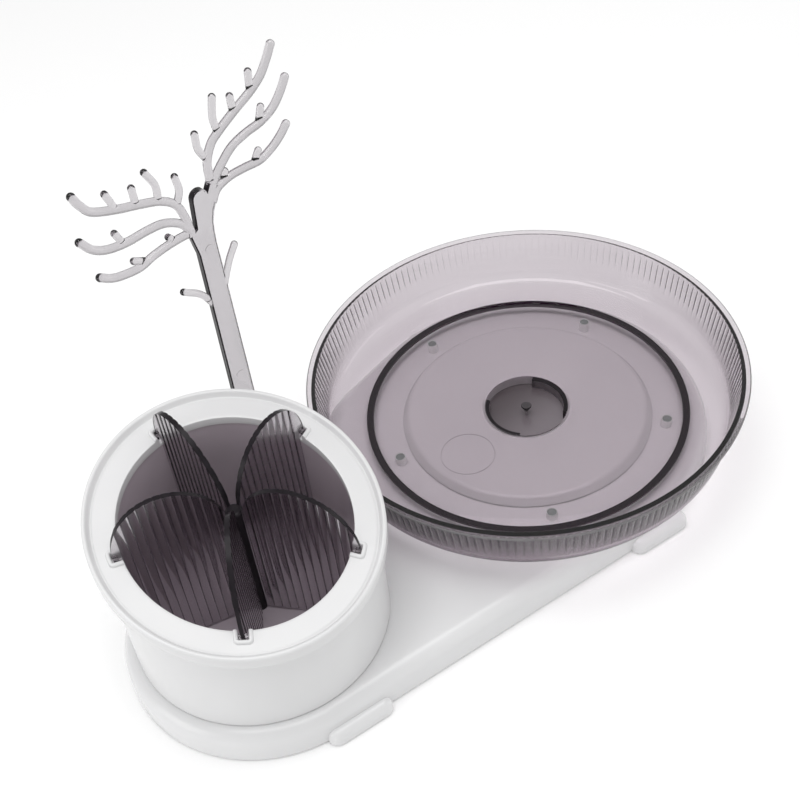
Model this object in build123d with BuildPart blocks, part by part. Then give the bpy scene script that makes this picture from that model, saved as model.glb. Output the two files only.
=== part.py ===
from build123d import *
import os
from math import asin, atan, cos, degrees, pi, radians, sin, sqrt, tan

# Rotating makeup organizer: a white base that carries a round fluted tray and an upright
# brush cup with a slanted top, each on its own turning pin, and a jewellery tree behind
# the cup. Millimetres, +Z up. The origin is on the table, under the middle of the
# organizer's length. The cup stands on the -X side and the tray on the +X side.

os.makedirs("parts", exist_ok=True)

# Base plan and shell
cup_end_radius = 74.8
tray_end_radius = 103.4
spacing = 197.5
base_height = 19.2
base_wall = 2.4
shoulder_radius = 8.0
base_edge_bevel = 0.8
cavity_bevel = 5.0
overrun = 1.0

# Pill-shaped side tabs and the rubber feet under them
tab_length = 39.0
tab_width = 10.4
tab_height = 6.0
tab_bevel = 2.2
tab_shift = 11.0
foot_length = 30.0
foot_width = 5.0
foot_offset = 1.3
foot_proud = 1.0

# Bottom plate and its screws
plate_thickness = 1.7
plate_inset = 1.3
plate_clearance = 0.3
boss_radius = 3.6
boss_edge_distance = 12.0
screw_radius = 1.45
screw_clearance = 0.05
screw_length = 9.0
screw_head_radius = 2.8
screw_head_height = 1.2
screw_head_clearance = 0.15
shank_sides = 8

# Turning pins, with a washer and a screw below each
pin_radius = 7.95
bearing_clearance = 0.05
sleeve_radius = 15.0
pin_end_play = 0.3
washer_radius = 12.0
washer_thickness = 1.5
washer_clearance = 0.6
pin_screw_radius = 1.9
pin_screw_length = 6.5
pin_head_radius = 4.0
pin_head_height = 1.9
cup_sleeve_depth = 9.2

# Tray dish
tray_radius = 125.0
tray_foot_radius = 115.6
tray_height = 33.2
tray_gap = 5.6
tray_floor = 2.2
tray_wall = 2.2
tray_foot_bevel = 1.6
tray_inner_round = 8.0
rim_bevel = 0.6
flute_count = 180
flute_depth = 0.6
flute_margin = 0.05
flute_rim_margin = 2.4
flute_foot_margin = 4.0
floor_rib_inner = 89.9
floor_rib_outer = 93.4
floor_rib_height = 1.6
hub_radius = 24.1
hub_depth = 7.0
hub_wall = 2.0
hub_rib_width = 2.4
hub_rib_drop = 0.6
hub_rib_angle = 94.0
hub_rib_turn = -12.0
cone_radius = 3.4
cone_tip_radius = 1.0
cone_height = 4.0
cone_clearance = 0.3

# Glide buttons under the tray
glide_count = 5
glide_circle = 81.0
glide_radius = 3.1
glide_bevel = 0.6
running_gap = 0.1

# Turntable disc that the tray stands on
disc_radius = 72.7
disc_thickness = 2.5
well_clearance = 0.5
well_gap = 0.1
well_thickness = 2.2
pocket_clearance = 1.7
pocket_gap = 1.5
pocket_sleeve_depth = 7.2

# Brush cup
cup_radius = 67.2
cup_wall = 2.2
cup_foot_gap = 0.8
cup_slope = 0.29
cup_flat_height = 77.6
cup_floor_thickness = 3.0
cup_floor_clearance = 0.2
cup_flange_thickness = 3.0
cup_flange_inner = 50.0
cup_screw_count = 3
cup_screw_circle = 61.0
cup_screw_length = 4.0
slip_inner = 40.0
slip_outer = 52.0
slip_thickness = 0.6

# Top ring of the cup
ring_radius = 72.1
bead_width = 2.7
bead_height = 2.1
bead_bevel = 0.8
groove_width = 2.3
groove_depth = 0.8
ring_plate = 4.4
opening_radius = 56.4
skirt_outer_clearance = 0.2
skirt_wall = 2.4
skirt_depth = 5.0
notch_width = 4.8
notch_reach = 4.8
notch_depth = 3.0
notch_wall = 1.6
notch_wall_height = 1.2

# Smoke-tinted liner inside the cup
liner_inner = 56.8
liner_wall = 1.6
liner_floor = 1.6

# Divider with five reeded petals
petal_count = 5
petal_turn = 90.0
petal_thickness = 2.0
reed_height = 0.42
reed_pitch = 4.2
petal_crown = 31.0
petal_crown_start = 3.5
petal_outer_gap = 0.5
petal_tab_gap = 0.5
petal_tab_length = 2.4
petal_tab_width = 4.2
petal_tab_rise = 0.8
seat_gap = 0.1
crown_points = 9
hub_post_radius = 4.4
hub_post_rise = 7.0
hub_post_bevel = 1.4

# Jewellery tree
tree_offset_x = 56.0
tree_y = 68.0
trunk_thickness = 4.0
trunk_foot_width = 13.6
trunk_neck_width = 10.8
trunk_clearance = 0.2
socket_floor_thickness = 2.0
socket_depth = 13.9
socket_wall = 2.0
fork_height = 204.0
crown_height = 76.0
crown_spread = 58.0
branch_radius = 2.1
twig_radius = 1.9
rod_sides = 8
tip_bevel = 0.9
lobe_radius = 4.4

# Places that follow from the sizes above
overall_length = cup_end_radius + spacing + tray_radius
cup_x = cup_end_radius - overall_length / 2
tray_x = cup_x + spacing
tree_x = cup_x + tree_offset_x
base_top = foot_proud + base_height
skin_low = base_top - base_wall
plate_low = foot_proud + plate_inset
plate_top = plate_low + plate_thickness
taper = asin((tray_end_radius - cup_end_radius) / spacing)
tray_under = base_top + tray_gap
tray_top = tray_under + tray_floor
rim_top = tray_under + tray_height
hub_floor_top = tray_top - hub_depth
hub_floor_under = hub_floor_top - hub_wall
well_top = hub_floor_under - well_gap
well_under = well_top - well_thickness
well_radius = hub_radius + hub_wall + well_clearance
pocket_top = well_under - pocket_gap
pocket_radius = well_radius + well_thickness + pocket_clearance
tray_sleeve_end = pocket_top - pocket_sleeve_depth
cup_sleeve_end = base_top - cup_sleeve_depth
bore_radius = pin_radius + bearing_clearance
cup_floor_low = base_top + slip_thickness + running_gap
cup_floor_top = cup_floor_low + cup_floor_thickness
flange_top = cup_floor_top + cup_flange_thickness
liner_floor_top = flange_top + liner_floor
ring_flat = base_top + cup_flat_height
slant = degrees(atan(cup_slope))
ring_top_bound = ring_flat + bead_height + cup_slope * ring_radius + overrun
petal_outer = liner_inner - petal_outer_gap
tab_outer = opening_radius + notch_reach - petal_tab_gap
socket_bottom = base_top - socket_depth
tree_foot = socket_bottom + seat_gap
UP = (Align.CENTER, Align.CENTER, Align.MIN)
DOWN = (Align.CENTER, Align.CENTER, Align.MAX)


def slanted(height):
    """The plane of the cup's slanted top that crosses the cup's axis at this height."""
    return Plane(origin=(cup_x, 0, height), x_dir=(1, 0, 0), z_dir=(0, -cup_slope, 1))


def post(x, y, low, high, radius, mode=Mode.ADD):
    """An upright round post or hole between two heights."""
    with Locations((x, y, low)):
        Cylinder(radius, high - low, align=UP, mode=mode)


def shank(x, y, low, high, radius):
    """A screw's shank, drawn plainly with a few flat sides."""
    with BuildSketch(Plane.XY.offset(low)) as section:
        with Locations((x, y)):
            RegularPolygon(radius, shank_sides)
    extrude(section.sketch, amount=high - low)


def finish(part, name):
    """Label one finished piece and write its file."""
    part.label = name
    export_step(part, f"parts/{name}.step")


def base_plan(inset, height):
    """The tapered plan of the base, drawn in by an inset, at a height."""
    with BuildSketch(Plane.XY.offset(height)) as plan:
        with Locations((cup_x, 0)):
            Circle(cup_end_radius - inset)
        with Locations((tray_x, 0)):
            Circle(tray_end_radius - inset)
        make_hull()
    return plan.sketch


def edge_location(side, along, outward):
    """A place on the base's straight edge: side is -1 in front and 1 behind."""
    normal = (-sin(taper), side * cos(taper))
    tangent = (cos(taper), side * sin(taper))
    reach = cup_end_radius + outward
    x = cup_x + normal[0] * reach + tangent[0] * along
    y = normal[1] * reach + tangent[1] * along
    return Location((x, y, 0), (0, 0, side * degrees(taper)))


tab_places = [(side, along) for side in (-1, 1) for along in (tab_shift, spacing * cos(taper) + tab_shift)]
boss_places = []
for side in (-1, 1):
    cup_reach = cup_end_radius - boss_edge_distance
    tray_reach = tray_end_radius - boss_edge_distance
    boss_places.append((cup_x + cup_reach * cos(radians(125)), side * cup_reach * sin(radians(125))))
    boss_places.append((tray_x + tray_reach * cos(radians(48)), side * tray_reach * sin(radians(48))))

# Base: one pill-shaped side tab, used four times
with BuildPart() as side_tab:
    with BuildSketch(Plane.XY.offset(foot_proud)):
        SlotOverall(tab_length, tab_width)
    extrude(amount=tab_height)
    chamfer(side_tab.edges().group_by(Axis.Z)[-1], tab_bevel)

# Base: the hollow under the skin, bevelled inside the shoulder
with BuildPart() as base_cavity:
    add(base_plan(base_wall, foot_proud))
    extrude(amount=base_height - base_wall)
    chamfer(base_cavity.edges().group_by(Axis.Z)[-1], cavity_bevel)

# Base: rounded shell with tabs, bearing sleeves, screw bosses and the tree's socket
with BuildPart() as base_shell:
    add(base_plan(0, foot_proud))
    extrude(amount=base_height)
    fillet(base_shell.edges().group_by(Axis.Z)[-1], shoulder_radius)
    chamfer(base_shell.edges().group_by(Axis.Z)[0], base_edge_bevel)
    for side, along in tab_places:
        with Locations(edge_location(side, along, 0)):
            add(side_tab.part)
    add(base_cavity.part, mode=Mode.SUBTRACT)
    post(tray_x, 0, pocket_top - base_wall, base_top, pocket_radius + base_wall)
    post(tray_x, 0, pocket_top, base_top + overrun, pocket_radius, Mode.SUBTRACT)
    post(tray_x, 0, plate_top, pocket_top, sleeve_radius)
    post(tray_x, 0, plate_top - overrun, tray_sleeve_end, washer_radius + washer_clearance, Mode.SUBTRACT)
    post(tray_x, 0, tray_sleeve_end - overrun, pocket_top + overrun, bore_radius, Mode.SUBTRACT)
    post(cup_x, 0, plate_top, skin_low, sleeve_radius)
    post(cup_x, 0, plate_top - overrun, cup_sleeve_end, washer_radius + washer_clearance, Mode.SUBTRACT)
    post(cup_x, 0, cup_sleeve_end - overrun, base_top + overrun, bore_radius, Mode.SUBTRACT)
    for x, y in boss_places:
        post(x, y, plate_top, skin_low, boss_radius)
        screw_end = plate_top + screw_length
        post(x, y, plate_top - overrun, screw_end, screw_radius + screw_clearance, Mode.SUBTRACT)
    slot_length = trunk_foot_width + 2 * trunk_clearance
    slot_width = trunk_thickness + 2 * trunk_clearance
    with Locations((tree_x, tree_y, socket_bottom - socket_floor_thickness)):
        Box(
            slot_length + 2 * socket_wall,
            slot_width + 2 * socket_wall,
            skin_low - socket_bottom + socket_floor_thickness,
            align=UP,
        )
    with Locations((tree_x, tree_y, socket_bottom)):
        Box(slot_length, slot_width, socket_depth + overrun, align=UP, mode=Mode.SUBTRACT)
finish(base_shell.part, "base_shell")

# Bottom plate with its screw holes
with BuildPart() as base_bottom:
    add(base_plan(base_wall + plate_clearance, plate_low))
    extrude(amount=plate_thickness)
    for x, y in boss_places:
        post(x, y, plate_low - overrun, plate_top + overrun, screw_radius + screw_clearance, Mode.SUBTRACT)
finish(base_bottom.part, "base_bottom")

# Plate screws: pan head and shank, one node of separate solids
with BuildPart() as base_screws:
    for x, y in boss_places:
        post(x, y, plate_low - screw_head_height, plate_low, screw_head_radius)
        shank(x, y, plate_low, plate_top + screw_length - overrun, screw_radius)
finish(base_screws.part, "base_screws")

# Rubber feet bonded under the tabs
with BuildPart() as rubber_feet:
    for side, along in tab_places:
        with BuildSketch(Plane(edge_location(side, along, foot_offset))):
            SlotOverall(foot_length, foot_width)
        extrude(amount=foot_proud)
finish(rubber_feet.part, "rubber_feet")

# Glide buttons that the tray's floor runs on
with BuildPart() as tray_glides:
    for i in range(glide_count):
        turn = radians(petal_turn + i * 360 / glide_count)
        x = tray_x + glide_circle * cos(turn)
        y = glide_circle * sin(turn)
        post(x, y, base_top, tray_under - running_gap, glide_radius)
    chamfer(tray_glides.edges().group_by(Axis.Z)[-1], glide_bevel)
finish(tray_glides.part, "tray_glides")

# Slip ring between the base and the cup's floor
with BuildPart() as cup_slip_ring:
    post(cup_x, 0, base_top, base_top + slip_thickness, slip_outer)
    post(cup_x, 0, base_top - overrun, base_top + slip_thickness + overrun, slip_inner, Mode.SUBTRACT)
finish(cup_slip_ring.part, "cup_slip_ring")


def pin_washer(x, sleeve_end, name):
    """The washer under a turning pin."""
    low = sleeve_end - pin_end_play - washer_thickness
    with BuildPart() as washer:
        post(x, 0, low, low + washer_thickness, washer_radius)
        hole = pin_screw_radius + screw_clearance
        post(x, 0, low - overrun, low + washer_thickness + overrun, hole, Mode.SUBTRACT)
    finish(washer.part, name)


def pin_screw(x, sleeve_end, name):
    """The screw that holds the washer against the pin's end."""
    low = sleeve_end - pin_end_play - washer_thickness - pin_head_height
    with BuildPart() as screw:
        post(x, 0, low, low + pin_head_height, pin_head_radius)
        under_head = low + pin_head_height
        shank(x, 0, under_head, under_head + washer_thickness + pin_screw_length, pin_screw_radius)
    finish(screw.part, name)


pin_washer(tray_x, tray_sleeve_end, "tray_pin_washer")
pin_screw(tray_x, tray_sleeve_end, "tray_pin_screw")
pin_washer(cup_x, cup_sleeve_end, "cup_pin_washer")
pin_screw(cup_x, cup_sleeve_end, "cup_pin_screw")

# Turntable disc: flat annulus, a well round the tray's hub and the turning pin below it
with BuildPart() as turntable_disc:
    post(tray_x, 0, tray_under - disc_thickness, tray_under, disc_radius)
    post(tray_x, 0, well_under, tray_under, well_radius + well_thickness)
    post(tray_x, 0, well_top, tray_under + overrun, well_radius, Mode.SUBTRACT)
    post(tray_x, 0, tray_sleeve_end - pin_end_play, well_under, pin_radius)
    with Locations((tray_x, 0, hub_floor_under)):
        seat_radius = cone_radius + cone_clearance
        seat_tip = cone_tip_radius + cone_clearance
        seat_depth = cone_height + cone_clearance
        Cone(seat_tip, seat_radius, seat_depth, align=DOWN, mode=Mode.SUBTRACT)
    pin_end = tray_sleeve_end - pin_end_play
    hole = pin_screw_radius + screw_clearance
    post(tray_x, 0, pin_end - overrun, pin_end + pin_screw_length, hole, Mode.SUBTRACT)
finish(turntable_disc.part, "turntable_disc")

# Tray dish: turned section with a flared wall, then the flutes cut round the outside
wall_lean = atan((tray_radius - tray_foot_radius) / tray_height)
rim_corner = tray_radius + rim_bevel * sin(wall_lean)
flute_high = rim_top - flute_rim_margin
flute_low = tray_under + flute_foot_margin


def fluted_section(height):
    """The zigzag plan of the flutes at one height of the flared wall."""
    crest = tray_foot_radius + (height - tray_under) * tan(wall_lean) - flute_margin
    points = []
    for i in range(2 * flute_count):
        reach = crest - (i % 2) * flute_depth
        turn = pi * i / flute_count
        points.append((reach * cos(turn), reach * sin(turn)))
    with BuildSketch(Plane((tray_x, 0, height))) as section:
        with BuildLine():
            Polyline(*points, close=True)
        make_face()
    return section.sketch


with BuildPart() as fluted_core:
    loft([fluted_section(flute_low).face(), fluted_section(flute_high).face()], ruled=True)
with BuildPart() as flute_cutter:
    post(tray_x, 0, flute_low, flute_high, tray_radius + overrun)
    add(fluted_core.part, mode=Mode.SUBTRACT)

foot_corner = (tray_foot_radius, tray_under)
floor_corner = (tray_foot_radius - tray_wall + tray_floor * tan(wall_lean), tray_top)
with BuildPart() as tray_dish:
    with BuildSketch(Plane.XZ.move(Location((tray_x, 0, 0)))) as section:
        with BuildLine():
            Polyline(
                (0, tray_under),
                foot_corner,
                (rim_corner, rim_top),
                (rim_corner - tray_wall / cos(wall_lean), rim_top),
                floor_corner,
                (0, tray_top),
                close=True,
            )
        make_face()
        fillet(section.vertices().sort_by_distance((*floor_corner, 0))[0], tray_inner_round)
        chamfer(section.vertices().sort_by_distance((*foot_corner, 0))[0], tray_foot_bevel)
        chamfer(section.vertices().group_by(Axis.Y)[-1], rim_bevel)
    revolve(axis=Axis((tray_x, 0, 0), (0, 0, 1)))
    post(tray_x, 0, tray_under - floor_rib_height, tray_under, floor_rib_outer)
    post(tray_x, 0, base_top, tray_under, floor_rib_inner, Mode.SUBTRACT)
    post(tray_x, 0, hub_floor_under, tray_under, hub_radius + hub_wall)
    post(tray_x, 0, hub_floor_top, tray_top + overrun, hub_radius, Mode.SUBTRACT)
    with Locations((tray_x, 0, hub_floor_under)):
        Cone(cone_tip_radius, cone_radius, cone_height, align=DOWN)
    for turn in (hub_rib_turn, hub_rib_turn + 180):
        start = turn - hub_rib_angle / 2
        across = (cos(radians(start)), sin(radians(start)), 0)
        with BuildSketch(Plane((tray_x, 0, hub_floor_top), x_dir=across)):
            with BuildLine():
                outer = CenterArc((0, 0), hub_radius, 0, hub_rib_angle)
                inner = CenterArc((0, 0), hub_radius - hub_rib_width, 0, hub_rib_angle)
                Line(outer @ 0, inner @ 0)
                Line(outer @ 1, inner @ 1)
            make_face()
        extrude(amount=hub_depth - hub_rib_drop)
    add(flute_cutter.part, mode=Mode.SUBTRACT)
finish(tray_dish.part, "tray_dish")

# Cup floor with its turning pin
with BuildPart() as cup_floor:
    post(cup_x, 0, cup_floor_low, cup_floor_top, cup_radius - cup_wall - cup_floor_clearance)
    post(cup_x, 0, cup_sleeve_end - pin_end_play, cup_floor_low, pin_radius)
    pin_end = cup_sleeve_end - pin_end_play
    hole = pin_screw_radius + screw_clearance
    post(cup_x, 0, pin_end - overrun, pin_end + pin_screw_length, hole, Mode.SUBTRACT)
    for i in range(cup_screw_count):
        turn = radians(petal_turn / 2 + i * 360 / cup_screw_count)
        x = cup_x + cup_screw_circle * cos(turn)
        y = cup_screw_circle * sin(turn)
        hole = screw_radius + screw_clearance
        post(x, y, cup_floor_low - overrun, cup_floor_top + overrun, hole, Mode.SUBTRACT)
        head_top = cup_floor_low + screw_head_height
        post(x, y, cup_floor_low - overrun, head_top, screw_head_radius + screw_head_clearance, Mode.SUBTRACT)
finish(cup_floor.part, "cup_floor")

with BuildPart() as cup_floor_screws:
    for i in range(cup_screw_count):
        turn = radians(petal_turn / 2 + i * 360 / cup_screw_count)
        x = cup_x + cup_screw_circle * cos(turn)
        y = cup_screw_circle * sin(turn)
        post(x, y, cup_floor_low, cup_floor_low + screw_head_height, screw_head_radius)
        under_head = cup_floor_low + screw_head_height
        shank(x, y, under_head, under_head + cup_screw_length, screw_radius)
finish(cup_floor_screws.part, "cup_floor_screws")

# Cup shell: a tube cut on the slant, with a flange inside for the floor and the liner
with BuildPart() as cup_shell:
    post(cup_x, 0, base_top + cup_foot_gap, ring_top_bound, cup_radius)
    post(cup_x, 0, base_top, ring_top_bound + overrun, cup_radius - cup_wall, Mode.SUBTRACT)
    split(bisect_by=slanted(ring_flat - ring_plate), keep=Keep.BOTTOM)
    post(cup_x, 0, cup_floor_top, flange_top, cup_radius - cup_wall / 2)
    post(cup_x, 0, cup_floor_top - overrun, flange_top + overrun, cup_flange_inner, Mode.SUBTRACT)
    for i in range(cup_screw_count):
        turn = radians(petal_turn / 2 + i * 360 / cup_screw_count)
        x = cup_x + cup_screw_circle * cos(turn)
        y = cup_screw_circle * sin(turn)
        hole_top = cup_floor_low + screw_head_height + cup_screw_length + screw_clearance
        post(x, y, cup_floor_top - overrun, hole_top, screw_radius + screw_clearance, Mode.SUBTRACT)
finish(cup_shell.part, "cup_shell")


def slanted_ring(outer, inner, low, high):
    """An upright tube section of the cup between two planes of the slanted top."""
    reach = cup_slope * outer
    with BuildPart() as layer:
        post(cup_x, 0, low - reach - overrun, high + reach + overrun, outer)
        post(cup_x, 0, low - reach - 2 * overrun, high + reach + 2 * overrun, inner, Mode.SUBTRACT)
        split(bisect_by=slanted(high), keep=Keep.BOTTOM)
        split(bisect_by=slanted(low), keep=Keep.TOP)
    return layer.part


def notch_prism(grow, low, high):
    """One notch's outline, grown all round, between two planes of the slanted top."""
    inner = opening_radius - 2 * notch_wall
    outer = opening_radius + notch_reach + grow
    with BuildPart() as prism:
        with BuildSketch(Plane.XY.offset(low - cup_slope * outer - overrun)):
            for i in range(petal_count):
                turn = petal_turn + i * 360 / petal_count
                middle = (inner + outer) / 2
                spot = (cup_x + middle * cos(radians(turn)), middle * sin(radians(turn)))
                with Locations(Location((*spot, 0), (0, 0, turn))):
                    RectangleRounded(outer - inner, notch_width + 2 * grow, notch_wall / 2 + grow / 2)
        extrude(amount=high - low + 2 * (cup_slope * outer + overrun))
        split(bisect_by=slanted(high), keep=Keep.BOTTOM)
        split(bisect_by=slanted(low), keep=Keep.TOP)
    return prism.part


# Top ring: raised outer bead, groove, flat annulus and five notches with raised walls
with BuildPart() as bead_ring:
    add(slanted_ring(ring_radius, ring_radius - bead_width, ring_flat - ring_plate, ring_flat + bead_height))
    top_edges = bead_ring.edges().filter_by(GeomType.ELLIPSE).filter_by(lambda e: e.arc_center.Z > ring_flat)
    chamfer(top_edges, bead_bevel)

notch_walls = notch_prism(notch_wall, ring_flat - notch_wall, ring_flat + notch_wall_height)
notch_slots = notch_prism(0, ring_flat - notch_depth, ring_flat + notch_wall_height + overrun)
cut_low = ring_flat - 2 * ring_plate
cut_high = ring_flat + 2 * ring_plate
opening_cut = slanted_ring(opening_radius, opening_radius / 2, cut_low, cut_high)
flat_outer = ring_radius - bead_width - groove_width
with BuildPart() as cup_top_ring:
    add(bead_ring.part)
    add(slanted_ring(ring_radius - bead_width, flat_outer, ring_flat - ring_plate, ring_flat - groove_depth))
    add(slanted_ring(flat_outer, opening_radius, ring_flat - ring_plate, ring_flat))
    add(notch_walls)
    add(notch_slots, mode=Mode.SUBTRACT)
    add(opening_cut, mode=Mode.SUBTRACT)
    skirt_outer = cup_radius - cup_wall - skirt_outer_clearance
    skirt_top = ring_flat - ring_plate
    add(slanted_ring(skirt_outer, skirt_outer - skirt_wall, skirt_top - skirt_depth, skirt_top))
finish(cup_top_ring.part, "cup_top_ring")

# Liner: a thin tinted cup that reaches up to the ring
with BuildPart() as cup_liner:
    post(cup_x, 0, flange_top, ring_top_bound, liner_inner + liner_wall)
    post(cup_x, 0, liner_floor_top, ring_top_bound + overrun, liner_inner, Mode.SUBTRACT)
    split(bisect_by=slanted(ring_flat - ring_plate), keep=Keep.BOTTOM)
finish(cup_liner.part, "cup_liner")

# Divider: one reeded blade in plan, then each petal cut to its own outline
petal_low = liner_floor_top + seat_gap
reed_count = int((petal_outer - hub_post_radius) // reed_pitch)
reed_step = (petal_outer - hub_post_radius) / reed_count
blade_half = petal_thickness / 2
blade_top = ring_flat + petal_crown + cup_slope * tab_outer + overrun
with BuildPart() as reeded_blade:
    with BuildSketch(Plane.XY.offset(petal_low)):
        with BuildLine():
            for side in (-1, 1):
                for i in range(reed_count):
                    near = hub_post_radius + i * reed_step
                    crest = (near + reed_step / 2, side * (blade_half + reed_height))
                    Polyline((near, side * blade_half), crest, (near + reed_step, side * blade_half))
            Line((hub_post_radius, -blade_half), (hub_post_radius, blade_half))
            Line((petal_outer, -blade_half), (petal_outer, blade_half))
        make_face()
    extrude(amount=blade_top - petal_low)
    with Locations(((petal_outer + tab_outer) / 2, 0, petal_low)):
        Box(tab_outer - petal_outer, petal_thickness, blade_top - petal_low, align=UP)


def petal(turn):
    """One petal: the reeded blade trimmed to an outline with a notch tab and a half-ellipse crown."""
    rise = cup_slope * sin(radians(turn))

    def on_slant(reach, above):
        return (reach, ring_flat + rise * reach + above)

    middle = (petal_crown_start + tab_outer) / 2
    half = (tab_outer - petal_crown_start) / 2
    crown = []
    for i in range(crown_points + 1):
        swing = pi * i / crown_points
        crown.append(on_slant(middle + half * cos(swing), petal_crown * sin(swing)))
    shelf = seat_gap + cup_slope * petal_tab_width / 2 - notch_depth
    outward = (cos(radians(turn)), sin(radians(turn)), 0)
    sideways = (sin(radians(turn)), -cos(radians(turn)), 0)
    side_view = Plane((cup_x, 0, 0), x_dir=outward, z_dir=sideways)
    with BuildPart() as trimmed:
        with Locations(Location((cup_x, 0, 0), (0, 0, turn))):
            add(reeded_blade.part)
        with BuildSketch(side_view.offset(-petal_tab_width)):
            with BuildLine():
                Spline(*crown, tangents=((0, 1), (0, -1)))
                Polyline(
                    crown[-1],
                    (petal_crown_start, petal_low),
                    (petal_outer, petal_low),
                    on_slant(petal_outer, shelf),
                    on_slant(tab_outer, shelf),
                    crown[0],
                )
            make_face()
        extrude(amount=2 * petal_tab_width, mode=Mode.INTERSECT)
        with BuildSketch(side_view.offset(-petal_tab_width / 2)):
            with BuildLine():
                Polyline(
                    on_slant(tab_outer - petal_tab_length, shelf),
                    on_slant(tab_outer, shelf),
                    on_slant(tab_outer, petal_tab_rise),
                    on_slant(tab_outer - petal_tab_length, petal_tab_rise),
                    close=True,
                )
            make_face()
        extrude(amount=petal_tab_width)
    return trimmed.part


petals = [petal(petal_turn + i * 360 / petal_count) for i in range(petal_count)]
with BuildPart() as divider_petals:
    for fin in petals:
        add(fin)
    post(cup_x, 0, petal_low - overrun, blade_top + overrun, hub_post_radius, Mode.SUBTRACT)
finish(divider_petals.part, "divider_petals")

with BuildPart() as divider_hub:
    post(cup_x, 0, petal_low, ring_flat + hub_post_rise, hub_post_radius)
    chamfer(divider_hub.edges().group_by(Axis.Z)[-1], hub_post_bevel)
finish(divider_hub.part, "divider_hub")

# Jewellery tree: shares of the crown's spread and height, from the trunk's axis and the fork
trunk_top_shares = [
    (0.11, 0.065), (0.23, 0.26), (0.215, 0.31), (0.145, 0.32),
    (0.115, 0.27), (-0.04, 0.26), (-0.06, 0.06), (-0.13, 0.03),
]
lobe_share = (0.038, 0.258)
branch_shares = [
    [(0.15, 0.22), (0.17, 0.47), (0.36, 0.61), (0.78, 0.79), (0.97, 1.00)],
    [(0.19, 0.24), (0.28, 0.38), (0.57, 0.50), (0.86, 0.55), (1.03, 0.72)],
    [(0.20, 0.22), (0.34, 0.28), (0.66, 0.27), (0.82, 0.31), (0.97, 0.41)],
    [(-0.09, 0.03), (-0.15, 0.24), (-0.30, 0.38), (-0.86, 0.53), (-1.00, 0.70)],
    [(-0.09, 0.03), (-0.24, 0.20), (-0.47, 0.24), (-0.84, 0.24), (-1.03, 0.40)],
    [(-0.09, 0.04), (-0.37, 0.06), (-0.62, 0.01), (-0.80, 0.03), (-0.98, 0.10)],
]
twig_shares = [
    [(0.19, 0.50), (0.12, 0.57), (0.13, 0.68)],
    [(0.34, 0.60), (0.31, 0.71), (0.35, 0.85)],
    [(0.50, 0.67), (0.49, 0.79)],
    [(0.70, 0.76), (0.72, 0.89)],
    [(0.71, 0.53), (0.77, 0.63)],
    [(0.30, 0.27), (0.33, 0.34)],
    [(0.60, 0.275), (0.66, 0.37)],
    [(-0.19, 0.28), (-0.11, 0.36), (-0.13, 0.47)],
    [(-0.33, 0.39), (-0.30, 0.50), (-0.37, 0.61)],
    [(-0.50, 0.435), (-0.50, 0.55)],
    [(-0.68, 0.48), (-0.73, 0.61)],
    [(-0.70, 0.24), (-0.75, 0.33)],
    [(-0.29, 0.055), (-0.34, 0.12)],
    [(-0.56, 0.02), (-0.66, 0.085)],
]
low_twig_shares = [
    [(0.07, -0.47), (0.17, -0.31), (0.24, -0.22)],
    [(-0.07, -0.57), (-0.19, -0.43), (-0.32, -0.35)],
]


def tree_point(share):
    return (tree_x + share[0] * crown_spread, tree_y, fork_height + share[1] * crown_height)


def rod(shares, radius):
    """An eight-sided branch through the given places, with mitred bends and a bevelled tip."""
    points = [Vector(*tree_point(share)) for share in shares]
    with BuildPart() as branch:
        with BuildLine() as path:
            Polyline(*points)
        with BuildSketch(Plane(points[0], z_dir=path.line % 0)):
            RegularPolygon(radius, rod_sides, major_radius=False, rotation=180 / rod_sides)
        sweep(transition=Transition.RIGHT)
        tip = branch.faces().sort_by_distance(points[-1])[0]
        chamfer(tip.edges(), tip_bevel)
    return branch.part


with BuildPart() as jewellery_tree:
    neck_z = fork_height - crown_height / 20
    trunk_top = [(crown_spread * across, fork_height + crown_height * up) for across, up in trunk_top_shares]
    with BuildSketch(Plane((tree_x, tree_y, 0), x_dir=(1, 0, 0), z_dir=(0, -1, 0))):
        with BuildLine():
            Polyline(
                (-trunk_foot_width / 2, tree_foot),
                (trunk_foot_width / 2, tree_foot),
                (trunk_foot_width / 2, base_top),
                (trunk_neck_width / 2, neck_z),
                *trunk_top,
                (-trunk_neck_width / 2, neck_z - crown_height / 10),
                (-trunk_foot_width / 2, base_top),
                close=True,
            )
        make_face()
        with Locations((crown_spread * lobe_share[0], fork_height + crown_height * lobe_share[1])):
            Circle(lobe_radius)
    extrude(amount=trunk_thickness / 2, both=True)
    for shares in branch_shares:
        add(rod(shares, branch_radius))
    for shares in twig_shares + low_twig_shares:
        add(rod(shares, twig_radius))
finish(jewellery_tree.part, "jewellery_tree")
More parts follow.
